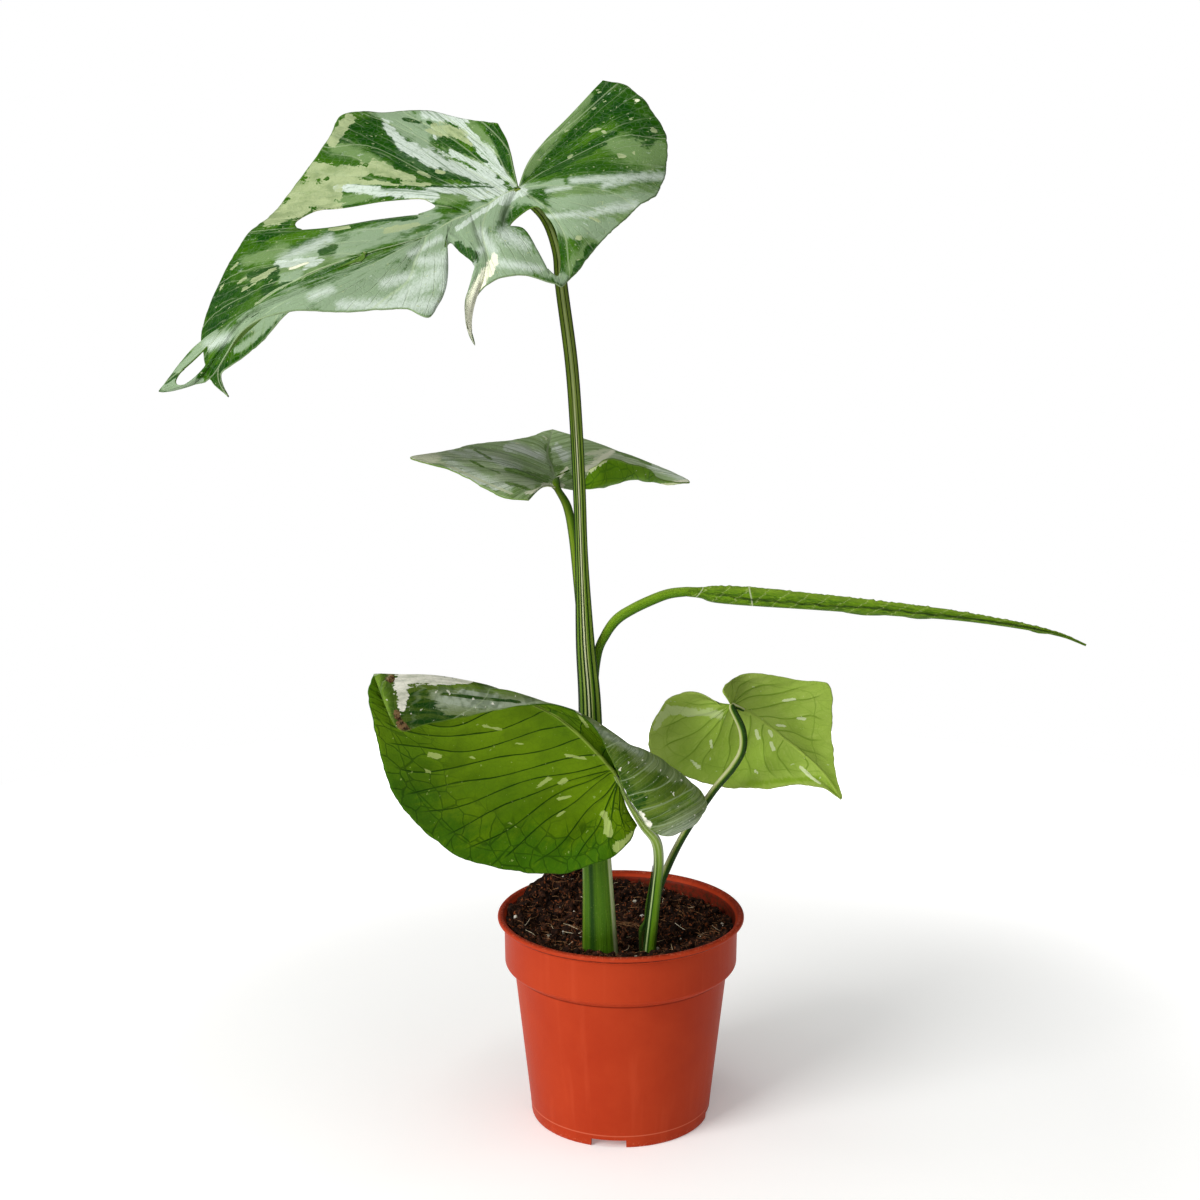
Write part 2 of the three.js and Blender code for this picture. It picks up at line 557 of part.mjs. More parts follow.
function soilPlug() {
  const clear = GAP + 0.05;
  const bottom = FLOOR_TOP + clear;
  const side = [
    [innerRadius(FLOOR_TOP) - 2 - clear, bottom],
    [innerRadius(FLOOR_TOP + 2) - clear, FLOOR_TOP + 2],
    [innerRadius(BODY_TOP) - clear, BODY_TOP + clear / 2],
    [innerRadius(BAND_BOTTOM) - clear, BAND_BOTTOM + clear],
  ];
  const topRadii = [innerRadius(BAND_BOTTOM) - clear, 48, 40, 32, 23, 13, 5];
  const ring = (radius, height) => Array.from({ length: POT_SIDES }, (_, k) => {
    const turn = (k * 2 * Math.PI) / POT_SIDES;
    const x = radius * Math.cos(turn);
    const y = radius * Math.sin(turn);
    return new THREE.Vector3(x, y, height(x, y));
  });
  return loft([
    ...side.map(([radius, z]) => ring(radius, () => z)),
    ...topRadii.map((radius) => ring(radius, soilHeight)),
  ]);
}

function soil() {
  let solid = toSolid(soilPlug()).subtract(toSolid(stalk(buriedStem, GAP)));
  for (const petiole of Object.values(petioles)) {
    solid = solid.subtract(toSolid(stalk(petiole, GAP)));
  }
  return fromSolid(solid);
}

// A blade keeps clear of the end of its own petiole.
function seatedBlade(leaf, petiole) {
  return fromSolid(toSolid(blade(leaf)).subtract(toSolid(stalk(petiole, GAP))));
}

const plastic = { color: 0xb8442a, roughness: 0.45 };
const peat = { color: 0x3a2417, roughness: 0.95 };
const upperLeaf = { color: 0x4f7a3a, roughness: 0.35 };
const underLeaf = { color: 0x7fa33a, roughness: 0.5 };
const stalkGreen = { color: 0x6b9a35, roughness: 0.45 };
const stemBrown = { color: 0x7a6240, roughness: 0.8 };

const group = new THREE.Group();

function add(name, geometry, look) {
  const mesh = new THREE.Mesh(geometry, new THREE.MeshStandardMaterial(look));
  mesh.name = name;
  group.add(mesh);
}

add('pot', pot(), plastic);
add('soil', soil(), peat);
add('buried_stem', stalk(buriedStem), stemBrown);
add('leaf_1_petiole', sheathedPetiole(), stalkGreen);
add('leaf_1_blade', seatedBlade(leaf1, petiole1), upperLeaf);
add('leaf_2_petiole', stalk(petiole2), stalkGreen);
add('leaf_2_blade', seatedBlade(leaf2, petiole2), upperLeaf);
add('leaf_3_petiole', stalk(petiole3), stalkGreen);
add('leaf_3_blade', seatedBlade(leaf3, petiole3), underLeaf);
add('leaf_4_petiole', stalk(petiole4), stalkGreen);
add('leaf_4_blade', seatedBlade(leaf4, petiole4), underLeaf);
add('rolled_leaf_petiole', stalk(rolledPetiole), stalkGreen);
add('rolled_leaf_blade', stalk(rolledLeaf), stalkGreen);

export default group;
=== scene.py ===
import math

import bpy
import numpy as np
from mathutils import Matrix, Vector, noise


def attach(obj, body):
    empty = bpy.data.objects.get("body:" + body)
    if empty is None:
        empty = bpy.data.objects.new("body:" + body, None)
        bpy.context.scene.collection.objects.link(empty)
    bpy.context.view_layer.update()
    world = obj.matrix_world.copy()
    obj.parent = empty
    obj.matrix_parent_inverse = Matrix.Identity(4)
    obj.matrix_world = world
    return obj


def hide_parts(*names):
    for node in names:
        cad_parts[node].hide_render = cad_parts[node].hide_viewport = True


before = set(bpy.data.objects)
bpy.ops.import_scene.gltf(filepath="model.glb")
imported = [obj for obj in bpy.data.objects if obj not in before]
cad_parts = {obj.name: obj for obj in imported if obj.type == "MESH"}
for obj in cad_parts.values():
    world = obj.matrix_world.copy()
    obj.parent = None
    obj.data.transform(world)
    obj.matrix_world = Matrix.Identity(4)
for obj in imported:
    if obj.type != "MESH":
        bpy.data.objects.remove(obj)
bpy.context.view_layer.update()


# The nursery pot
# One injection moulding in satin terracotta-coloured polypropylene, 12 cm across: a rolled lip over
# a stacking band, a tapered body, a foot ring with notches and a floor with drain holes.
MM = 0.001
POT_HEIGHT = 103.5
POT_WALL = 1.3
LIP_RADIUS = 60.3
LIP_HEIGHT = 2.6
BAND_RADIUS = 56.8
BAND_BOTTOM = 79
BODY_TOP = 76
BODY_TOP_RADIUS = 52.2
FOOT_RADIUS = 43.9
FLOOR_UNDERSIDE = 3.2
FLOOR_TOP = 4.8
PAD_RADIUS = 8
NOTCH_WIDTH = 17
NOTCH_HEIGHT = 4
NOTCH_DEPTH = 14
NOTCH_COUNT = 4
NOTCH_TURN = -98
DRAIN_RADIUS = 4
DRAIN_CIRCLE = 27
DRAIN_COUNT = 8
DRAIN_SIDES = 32
POT_SIDES = 192
CORNER_ROUND = 0.7
# Heights of a painted highlight line near the foot, of painted shade in the step under the band and of a
# painted shadow under the lip.
FOOT_LINE = 6.2
STEP_LINE = 75.6
LIP_LINE = 100.8


def body_radius(z):
    return FOOT_RADIUS + (BODY_TOP_RADIUS - FOOT_RADIUS) * z / BODY_TOP


def inner_radius(z):
    if z <= BODY_TOP:
        return body_radius(z) - POT_WALL
    share = min((z - BODY_TOP) / (BAND_BOTTOM - BODY_TOP), 1)
    return BODY_TOP_RADIUS + (BAND_RADIUS - BODY_TOP_RADIUS) * share - POT_WALL


def rounded(outline, radius, steps=4):
    """The outline with each corner between its first and last point rounded off."""
    points = [np.array(point, float) for point in outline]
    result = [points[0]]
    for before, corner, after in zip(points, points[1:], points[2:]):
        back, ahead = before - corner, after - corner
        reach = min(radius, 0.4 * np.linalg.norm(back), 0.4 * np.linalg.norm(ahead))
        start = corner + back / np.linalg.norm(back) * reach
        end = corner + ahead / np.linalg.norm(ahead) * reach
        for step in range(steps + 1):
            t = step / steps
            result.append((1 - t) ** 2 * start + 2 * t * (1 - t) * corner + t ** 2 * end)
    result.append(points[-1])
    return result


def pot_outline():
    """The wall's section as (radius, height), from the pad's middle round to the floor's middle."""
    lip_bottom = POT_HEIGHT - LIP_HEIGHT
    return rounded([
        (0, 0), (PAD_RADIUS, 0), (PAD_RADIUS + 0.6, FLOOR_UNDERSIDE),
        (FOOT_RADIUS - 2.2, FLOOR_UNDERSIDE), (FOOT_RADIUS - 1.9, 0), (FOOT_RADIUS - 0.2, 0),
        (FOOT_RADIUS + 0.3, 1.2), (body_radius(8), 8), (body_radius(42), 42), (BODY_TOP_RADIUS, BODY_TOP),
        (BAND_RADIUS - 0.8, BAND_BOTTOM - 0.6), (BAND_RADIUS, BAND_BOTTOM + 0.6),
        (BAND_RADIUS + 0.2, lip_bottom - 1.4), (LIP_RADIUS - 1, lip_bottom - 0.3),
        (LIP_RADIUS, lip_bottom + 0.7), (LIP_RADIUS - 0.1, POT_HEIGHT - 0.8), (LIP_RADIUS - 1, POT_HEIGHT),
        (LIP_RADIUS - 2.6, POT_HEIGHT - 0.2), (inner_radius(lip_bottom) + 0.2, lip_bottom - 0.6),
        (inner_radius(BAND_BOTTOM), BAND_BOTTOM), (inner_radius(BODY_TOP), BODY_TOP),
        (inner_radius(FLOOR_TOP + 2), FLOOR_TOP + 2), (inner_radius(FLOOR_TOP) - 2, FLOOR_TOP),
        (0, FLOOR_TOP),
    ], CORNER_ROUND)


def new_object(name, vertices, faces, edges=()):
    """A new object whose mesh is given in millimetres."""
    mesh = bpy.data.meshes.new(name)
    mesh.from_pydata([tuple(MM * float(c) for c in vertex) for vertex in vertices], list(edges), faces)
    mesh.update()
    thing = bpy.data.objects.new(name, mesh)
    bpy.context.collection.objects.link(thing)
    return thing


def wired(tree, kind, inputs=None, **settings):
    """A new node in the tree, with its settings made and its inputs set or linked."""
    made = tree.nodes.new(kind)
    for key, value in settings.items():
        setattr(made, key, value)
    for key, value in (inputs or {}).items():
        if isinstance(value, bpy.types.Node):
            value = value.outputs[0]
        if isinstance(value, Measure):
            value = value.socket
        if isinstance(value, bpy.types.NodeSocket):
            tree.links.new(value, made.inputs[key])
        else:
            made.inputs[key].default_value = value
    return made


class Tree:
    """A Geometry Nodes tree under construction, with named inputs and one geometry output."""

    def __init__(self, name):
        self.group = bpy.data.node_groups.new(name, "GeometryNodeTree")
        self.group.interface.new_socket("Geometry", in_out="INPUT", socket_type="NodeSocketGeometry")
        self.group.interface.new_socket("Geometry", in_out="OUTPUT", socket_type="NodeSocketGeometry")
        self.start = self.group.nodes.new("NodeGroupInput")
        self.end = self.group.nodes.new("NodeGroupOutput")

    def size(self, name, value, kind="NodeSocketFloat"):
        socket = self.group.interface.new_socket(name, in_out="INPUT", socket_type=kind)
        socket.default_value = value
        return self.start.outputs[name]

    def add(self, kind, inputs=None, **settings):
        return wired(self.group, kind, inputs, **settings)

    def vector(self, operation, inputs):
        return self.add("ShaderNodeVectorMath", inputs, operation=operation)

    def gather(self, parts):
        whole = self.add("GeometryNodeJoinGeometry")
        for part in parts:
            self.group.links.new(part.outputs[0], whole.inputs[0])
        return whole

    def finish(self, geometry, thing):
        """Ends the tree, runs it on the object and returns the result as a plain mesh object."""
        whole = self.add("GeometryNodeRealizeInstances", {0: geometry})
        self.group.links.new(whole.outputs[0], self.end.inputs[0])
        modifier = thing.modifiers.new(self.group.name, "NODES")
        modifier.node_group = self.group
        evaluated = thing.evaluated_get(bpy.context.evaluated_depsgraph_get())
        mesh = bpy.data.meshes.new_from_object(evaluated)
        thing.modifiers.remove(modifier)
        thing.data = mesh
        while None in list(mesh.materials):
            mesh.materials.pop(index=list(mesh.materials).index(None))
        for place, copied in enumerate(mesh.materials):
            mesh.materials[place] = bpy.data.materials[copied.name]
        return thing


class Measure:
    """A number, place or colour inside a material. Arithmetic with it adds the nodes for that."""

    def __init__(self, finish, socket):
        self.finish = finish
        self.socket = socket

    def calc(self, operation, other=0.0):
        return self.finish.add("ShaderNodeMath", {0: self, 1: other}, operation=operation)

    def __add__(self, other):
        return self.calc("ADD", other)

    def __sub__(self, other):
        return self.calc("SUBTRACT", other)

    def __mul__(self, other):
        return self.calc("MULTIPLY", other)

    def __abs__(self):
        return self.calc("ABSOLUTE")

    def either(self, other):
        return self.calc("MAXIMUM", other)

    def rise(self, low, high, bottom=0.0, top=1.0):
        """Goes smoothly from bottom to top while the measure goes from low to high."""
        return self.finish.add("ShaderNodeMapRange", {0: self, 1: low, 2: high, 3: bottom, 4: top},
                               interpolation_type="SMOOTHSTEP")


def tint(code):
    """A web colour as linear RGBA; a colour inside a material stays as it is."""
    if isinstance(code, Measure):
        return code
    values = [int(code[k:k + 2], 16) / 255 for k in (0, 2, 4)]
    return (*[v / 12.92 if v < 0.04045 else ((v + 0.055) / 1.055) ** 2.4 for v in values], 1)


class Finish:
    """A material under construction: coats of colour laid one over another on a Principled shader."""

    def __init__(self, name):
        self.material = bpy.data.materials.new(name)
        self.material.use_nodes = True
        self.tree = self.material.node_tree
        self.shader = self.tree.nodes["Principled BSDF"]
        self.place = self.add("ShaderNodeTexCoord", output="Object")
        self.colour = None

    def add(self, kind, inputs=None, output=0, **settings):
        return Measure(self, wired(self.tree, kind, inputs, **settings).outputs[output])

    def read(self, label, output="Fac"):
        """An attribute of the mesh."""
        return self.add("ShaderNodeAttribute", output=output, attribute_name=label)

    def part(self, place, axis):
        return self.add("ShaderNodeSeparateXYZ", {0: place}, output=axis)

    def stretched(self, place, scale, shift=(0, 0, 0)):
        return self.add("ShaderNodeMapping", {0: place, 1: shift, 3: scale})

    def mottle(self, place, scale, detail=3.0, roughness=0.5, distortion=0.0):
        return self.add("ShaderNodeTexNoise", {"Vector": place, "Scale": scale, "Detail": detail,
                                               "Roughness": roughness, "Distortion": distortion})

    def cells(self, place, scale):
        """How far each spot is from the border of its cell."""
        return self.add("ShaderNodeTexVoronoi", {"Vector": place, "Scale": scale}, feature="DISTANCE_TO_EDGE")

    def mixed(self, share, first, second):
        inputs = {0: share, 6: tint(first), 7: tint(second)}
        return self.add("ShaderNodeMix", inputs, output=2, data_type="RGBA")

    def graded(self, value, stops):
        """Colours along a value: (place from 0 to 1, colour)."""
        colour = self.add("ShaderNodeValToRGB", {0: value})
        ramp = colour.socket.node.color_ramp
        for _ in stops[2:]:
            ramp.elements.new(0.5)
        for element, (place, code) in zip(ramp.elements, stops):
            element.position = place
            element.color = tint(code)
        return colour

    def coat(self, share, colour):
        self.colour = self.mixed(share, self.colour, colour)

    def done(self, roughness, specular, height, depth):
        """Links the coats, the roughness and a bump of this depth in metres, and returns the material."""
        self.tree.links.new(self.colour.socket, self.shader.inputs["Base Color"])
        self.tree.links.new(roughness.socket, self.shader.inputs["Roughness"])
        self.shader.inputs["Specular IOR Level"].default_value = specular
        bump = self.add("ShaderNodeBump", {"Strength": 1.0, "Distance": depth, "Height": height})
        self.tree.links.new(bump.socket, self.shader.inputs["Normal"])
        return self.material


def settle(piece, slot, *nodes):
    """The piece rides on the part's one body and stands for its CAD nodes. The slot is not used."""
    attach(piece, "root")
    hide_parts(*nodes)


def terracotta_plastic():
    """Satin plastic with faint flow marks, soiled inside and worn at the lip and the foot. Painted shade
    darkens the inner wall and the step under the band, a painted shadow lies under the lip, and a painted
    highlight runs round the wall near the foot.
    """
    paint = Finish("terracotta_plastic")
    place = paint.place
    height = paint.part(place, "Z") * (1 / MM)
    flat = paint.add("ShaderNodeVectorMath", {0: place, 1: (1, 1, 0)}, operation="MULTIPLY")
    radius = paint.add("ShaderNodeVectorMath", {0: flat}, output="Value", operation="LENGTH") * (1 / MM)
    clouds = paint.mottle(place, 22, 4, 0.6)
    streaks = paint.mottle(paint.stretched(place, (160, 160, 6)), 1.0, 2)
    dust_and_shade = paint.mottle(place, 420, 3, 0.7)
    scuffs = paint.mottle(place, 900, 2, 0.6)
    grit = paint.mottle(place, 1500, 2)

    def line_at(level, soft, sharp):
        return abs(height - level).rise(soft, sharp)

    inside = radius.calc("LESS_THAN", BAND_RADIUS - 0.6) * height.calc("GREATER_THAN", BAND_BOTTOM + 4)
    soiled = inside * dust_and_shade.rise(0.42, 0.62, 0.25, 0.9) * height.rise(POT_HEIGHT, 99, 0.45, 1)
    lip = height.rise(101.8, 103) * radius.rise(60.4, 59.2)
    lip_shadow = line_at(LIP_LINE, 0.8, 0.2) * radius.rise(57.2, 58)
    edge = height.rise(102.2, 103.4) + height.rise(4, 0.4)
    paint.colour = paint.mixed(clouds.rise(0.3, 0.7), "ab361a", "b43d1e")
    paint.coat(streaks.rise(0.52, 0.75, 0, 0.25), "c44c2c")
    # Painted shade: the inner wall darker than the outside.
    paint.coat(inside * 0.7, "6c1b16")
    paint.coat(soiled, "4a2a1b")
    paint.coat(lip * dust_and_shade.rise(0.3, 0.6, 0.35, 0.8), "7a2412")
    # Painted highlight: a thin pale line round the wall near the foot.
    paint.coat(line_at(FOOT_LINE, 0.5, 0.1) * 0.45, "e0795a")
    # Painted shade in the step under the stacking band.
    paint.coat(line_at(STEP_LINE, 0.55, 0.2) * 0.7, "6e1c0c")
    # Painted shadow along the underside of the lip, broken up by the dust noise.
    paint.coat(lip_shadow * dust_and_shade.rise(0.35, 0.55, 0.4, 0.9), "4c150b")
    paint.coat(edge * scuffs.rise(0.5, 0.75, 0, 0.5), "d98263")
    return paint.done(clouds.rise(0.2, 0.8, 0.36, 0.48), 0.04, grit + streaks, 0.00008)


def moulded_pot():
    """A Geometry Nodes tree turns the wall's section round the axis and cuts the notches and drain holes."""
    section = pot_outline()
    thing = new_object("pot_shell", [(radius, -height, 0) for radius, height in section], [],
                       [(k, k + 1) for k in range(len(section) - 1)])
    tree = Tree("turned pot")
    sides = tree.size("Sides", POT_SIDES, "NodeSocketInt")
    notch_size = (NOTCH_WIDTH * MM, NOTCH_DEPTH * MM, 2 * NOTCH_HEIGHT * MM)
    notch = tree.size("Notch size", notch_size, "NodeSocketVector")
    notches = tree.size("Notch count", NOTCH_COUNT, "NodeSocketInt")
    drain = tree.size("Drain radius", DRAIN_RADIUS * MM)
    drains = tree.size("Drain count", DRAIN_COUNT, "NodeSocketInt")
    wall = tree.add("GeometryNodeMeshToCurve", {0: tree.start})
    # The sweep runs on a circle of 1 micrometre, so the section's radius is measured from the axis.
    axis = tree.add("GeometryNodeCurvePrimitiveCircle", {"Resolution": sides, "Radius": 1e-6})
    turned = tree.add("GeometryNodeCurveToMesh", {0: axis, 1: wall})
    closed = tree.add("GeometryNodeMergeByDistance", {0: turned, "Distance": 2e-5})

    def round_the_axis(count, radius, turn, height, shape):
        ring = tree.add("GeometryNodeMeshCircle", {"Vertices": count, "Radius": radius * MM})
        heading = tree.add("FunctionNodeAlignRotationToVector",
                           {"Vector": tree.add("GeometryNodeInputPosition")}, axis="Y")
        placed = tree.add("GeometryNodeInstanceOnPoints", {0: ring, "Instance": shape, "Rotation": heading})
        return tree.add("GeometryNodeTransform", {
            0: placed, "Translation": (0, 0, height * MM), "Rotation": (0, 0, turn)})

    block = tree.add("GeometryNodeMeshCube", {"Size": notch})
    hole = tree.add("GeometryNodeMeshCylinder", {
        "Vertices": DRAIN_SIDES, "Radius": drain, "Depth": 4 * FLOOR_TOP * MM})
    cutters = tree.gather([
        round_the_axis(notches, FOOT_RADIUS, math.radians(NOTCH_TURN), 0, block),
        round_the_axis(drains, DRAIN_CIRCLE, math.pi / DRAIN_COUNT, FLOOR_TOP, hole),
    ])
    cut = tree.add("GeometryNodeMeshBoolean", {0: closed}, operation="DIFFERENCE")
    solid = tree.add("GeometryNodeRealizeInstances", {0: cutters})
    tree.group.links.new(solid.outputs[0], cut.inputs[1])
    return tree.finish(tree.add("GeometryNodeSetMaterial", {0: cut, "Material": terracotta_plastic()}), thing)


pot_shell = moulded_pot()
pot_shell.data.shade_smooth()
pot_shell.data.set_sharp_from_angle(angle=math.radians(40))
settle(pot_shell, "pot_plastic", "pot")


# The soil
# Moist peat with coir fibres and a few grains of perlite, pressed round the stems by hand and heaped
# against the rim at the back left. Crumbs and fibres lie loose on it.
SOIL_LEVEL = 95.5
SOIL_LUMP = 1.3
SOIL_CLEAR = 0.4
SOIL_SIDES = 120
SOIL_RINGS = 42
RIM_BANK = 6.8
RIM_FLARE = 1.2
WALL_SHOWS = math.radians(52)
FULL_TURN = 6.3


def soil_height(x, y):
    lumps = math.sin(0.41 * x + 1.3) * math.cos(0.37 * y - 0.6) + 0.6 * math.sin(0.83 * x - 0.71 * y)
    heap = 8.5 * math.exp(-((x + 27) ** 2 / 520 + (y - 44) ** 2 / 300))
    return SOIL_LEVEL + SOIL_LUMP * lumps + heap


def crumbled_height(x, y):
    """The soil's top with its crumbs, banked against the rim except at the back right."""
    clods = noise.fractal(Vector((x * 0.16, y * 0.16, 3)), 1, 2, 4)
    crumbs = noise.noise(Vector((x * 0.45, y * 0.45, 9)))
    banked = 2.2 * math.exp(-((x + 12) ** 2 / 900 + (y - 48) ** 2 / 160))
    radius = math.hypot(x, y)
    past_wall = 0.72 - (x * math.cos(WALL_SHOWS) + y * math.sin(WALL_SHOWS)) / max(radius, 1)
    rimmed = RIM_BANK * math.exp(-((radius - 57) / 10) ** 2) * min(max(past_wall / 0.5, 0), 1)
    return soil_height(x, y) + 2.1 * clods + 1.1 * crumbs + banked + rimmed - 0.3


def soil_plug():
    """A closed plug. Where the soil is banked up, its edge follows the lip's inner side outwards."""
    bottom = FLOOR_TOP + SOIL_CLEAR
    edge = inner_radius(BAND_BOTTOM) - SOIL_CLEAR
    side = [
        (inner_radius(FLOOR_TOP) - 2 - SOIL_CLEAR, bottom),
        (inner_radius(FLOOR_TOP + 2) - SOIL_CLEAR, FLOOR_TOP + 2),
        (inner_radius(BODY_TOP) - SOIL_CLEAR, BODY_TOP + SOIL_CLEAR / 2), (edge, BAND_BOTTOM + SOIL_CLEAR),
    ]
    rings = [(radius, lambda x, y, z=z: z) for radius, z in side]
    rings.append((edge, lambda x, y: crumbled_height(x, y) - 1.4))
    rim = len(rings)
    rings += [(edge * math.sqrt(1 - k / SOIL_RINGS), crumbled_height) for k in range(SOIL_RINGS)]
    vertices = [(0, 0, bottom)]
    for ring, (radius, height) in enumerate(rings):
        for k in range(SOIL_SIDES):
            turn = k * 2 * math.pi / SOIL_SIDES
            x, y = radius * math.cos(turn), radius * math.sin(turn)
            z = height(x, y)
            if ring == rim:
                flared = radius + RIM_FLARE * min(max(z - POT_HEIGHT + 3, 0), 1)
                x, y = flared * math.cos(turn), flared * math.sin(turn)
            vertices.append((x, y, z))
    vertices.append((0, 0, crumbled_height(0, 0)))
    faces = []
    for k in range(SOIL_SIDES):
        after = (k + 1) % SOIL_SIDES
        faces.append((0, 1 + after, 1 + k))
        for ring in range(len(rings) - 1):
            low, high = 1 + ring * SOIL_SIDES, 1 + (ring + 1) * SOIL_SIDES
            faces.append((low + k, low + after, high + after, high + k))
        last = 1 + (len(rings) - 1) * SOIL_SIDES
        faces.append((last + k, last + after, len(vertices) - 1))
    return new_object("soil_bed", vertices, faces)


def peat():
    paint = Finish("moist_peat")
    place = paint.place
    clods = paint.mottle(place, 260, 6, 0.65)
    patches = paint.mottle(paint.stretched(place, (1, 1, 1), (0.01, 0.02, 0)), 34, 3, 0.6)
    fibres = paint.mottle(paint.stretched(place, (900, 160, 500)), 1.0, 3)
    paint.colour = paint.graded(clods, [(0.33, "120a07"), (0.54, "2e1b12"), (0.74, "6e4430")])
    paint.coat(patches.rise(0.42, 0.62, 0.55, 0), "0e0705")
    paint.coat(paint.mottle(place, 620, 3, 0.5).rise(0.6, 0.66, 0, 0.8), "8a4a28")
    paint.coat(fibres.rise(0.6, 0.7, 0, 0.6), "8c5836")
    return paint.done(clods.rise(0.3, 0.7, 0.72, 0.95), 0.1, clods, 0.0008)


def dry_finish(name, dark, light, scale):
    """A dull, speckled finish for loose matter such as fibre, perlite and straw."""
    paint = Finish(name)
    grain = paint.mottle(paint.place, scale, 4, 0.6)
    paint.colour = paint.mixed(grain.rise(0.35, 0.65), dark, light)
    return paint.done(grain.rise(0.3, 0.7, 0.75, 0.95), 0.15, grain, 0.0003)


def strewn_soil():
    """A Geometry Nodes tree strews crumbs, fibres and perlite over the upward faces of the plug."""
    peaty = peat()
    coir = dry_finish("coir_fibre", "4a2a1a", "a87c54", 260)
    perlite = dry_finish("perlite", "b4a890", "ece8de", 900)
    straw = dry_finish("straw", "b89a6c", "f0e4c8", 200)
    tree = Tree("strewn soil")
    seed = tree.size("Seed", 7, "NodeSocketInt")
    bed = tree.add("GeometryNodeSetMaterial", {0: tree.start, "Material": peaty})
    facing = tree.add("ShaderNodeSeparateXYZ", {0: tree.add("GeometryNodeInputNormal")})
    top = tree.add("FunctionNodeCompare", {0: facing.outputs["Z"], 1: 0.35}, operation="GREATER_THAN")
    plug_radius = (inner_radius(BAND_BOTTOM) - SOIL_CLEAR) * MM
    flat = tree.vector("MULTIPLY", {0: tree.add("GeometryNodeInputPosition"), 1: (1, 1, 0)})

    def random_number(low, high, step):
        turned = tree.add("ShaderNodeMath", {0: seed, 1: float(step)}, operation="ADD")
        inputs = {2: low, 3: high, "Seed": turned}
        return tree.add("FunctionNodeRandomValue", inputs, data_type="FLOAT").outputs[1]

    def strew(shapes, per_m2, low, high, step, sunk, room, tilt=None):
        """Scatter over the top, no nearer than room to the plug's side, so that nothing pierces the wall."""
        away = tree.vector("LENGTH", {0: flat}).outputs["Value"]
        clear = tree.add("FunctionNodeCompare", {0: away, 1: plug_radius - room}, operation="LESS_THAN")
        where = tree.add("FunctionNodeBooleanMath", {0: top, 1: clear}, operation="AND")
        points = tree.add("GeometryNodeDistributePointsOnFaces", {
            0: tree.start, "Selection": where, "Density": per_m2, "Seed": step})
        moved = tree.add("GeometryNodeSetPosition", {0: points, "Offset": (0, 0, sunk)})
        tumbled = tilt or tree.add("FunctionNodeRandomValue", {
            0: (0, 0, 0), 1: (FULL_TURN, FULL_TURN, FULL_TURN), "Seed": step + 1}, data_type="FLOAT_VECTOR")
        return tree.add("GeometryNodeInstanceOnPoints", {
            0: moved, "Instance": shapes, "Pick Instance": True, "Rotation": tumbled,
            "Scale": random_number(low, high, step + 2)})

    def lying(step, roll, pitch):
        return tree.add("ShaderNodeCombineXYZ", {
            0: random_number(-roll, roll, step + 1), 1: random_number(-pitch, pitch, step + 2),
            2: random_number(0, FULL_TURN, step)})

    def shape_of(geometry, finish):
        made = tree.add("GeometryNodeSetMaterial", {0: geometry, "Material": finish})
        return tree.add("GeometryNodeGeometryToInstance", {0: made})

    def clods(count, detail, rough, finish, step):
        """Lumps of radius 1 mm, each with its own uneven shape."""
        shapes = []
        for k in range(count):
            ball = tree.add("GeometryNodeMeshIcoSphere", {"Radius": MM, "Subdivisions": detail})
            at = tree.add("GeometryNodeInputPosition")
            shifted = tree.vector("ADD", {0: at, 1: (0.013 * k + step, 0.02 * k, 0)})
            bumps = tree.add("ShaderNodeTexNoise", {"Vector": shifted, "Scale": 900.0, "Detail": 1.0})
            swell = tree.add("ShaderNodeMapRange", {0: bumps, 1: 0.3, 2: 0.7, 3: 1 - rough, 4: 1 + rough})
            squat = tree.vector("MULTIPLY", {0: at, 1: (1, 0.8, 0.62)})
            lump = tree.vector("SCALE", {0: squat, "Scale": swell})
            shapes.append(shape_of(tree.add("GeometryNodeSetPosition", {0: ball, "Position": lump}), finish))
        return tree.gather(shapes)

    def threads(count, finish, thickness, curl):
        """Fibres about 10 mm long, more or less curled."""
        shapes = []
        for k in range(count):
            arc = tree.add("GeometryNodeCurveQuadraticBezier", {
                "Resolution": 7, "Start": (-0.006, 0, 0),
                "Middle": (0.001 * k, curl * (1 - 0.4 * (k % 2)), 0.0008 * (k % 3)),
                "End": (0.005, 0.0012 * (k - 2), 0.0012)})
            section = tree.add("GeometryNodeCurvePrimitiveCircle", {"Resolution": 4, "Radius": thickness / 2})
            wire = tree.add("GeometryNodeCurveToMesh", {0: arc, 1: section, "Fill Caps": True})
            shapes.append(shape_of(wire, finish))
        return tree.gather(shapes)

    whole = tree.gather([
        bed,
        strew(clods(4, 1, 0.35, peaty, 0.1), 300000, 0.35, 1.05, 11, 0.0001, 0.001),
        strew(clods(5, 2, 0.5, peaty, 0.3), 60000, 0.8, 3.0, 21, 0.0004, 0.0035),
        strew(clods(3, 2, 0.3, perlite, 0.7), 2300, 0.5, 1.3, 31, 0.0009, 0.002),
        strew(threads(5, coir, 0.00026, 0.0045), 46000, 0.25, 1.0, 41, 0.0011, 0.005, lying(43, 0.35, 0.3)),
        strew(threads(4, straw, 0.0004, 0.0012), 3200, 0.2, 0.75, 51, 0.0026, 0.005, lying(53, 0.9, 0.7)),
    ])
    return tree.finish(whole, soil_plug())


soil_bed = strewn_soil()
settle(soil_bed, "soil", "soil")


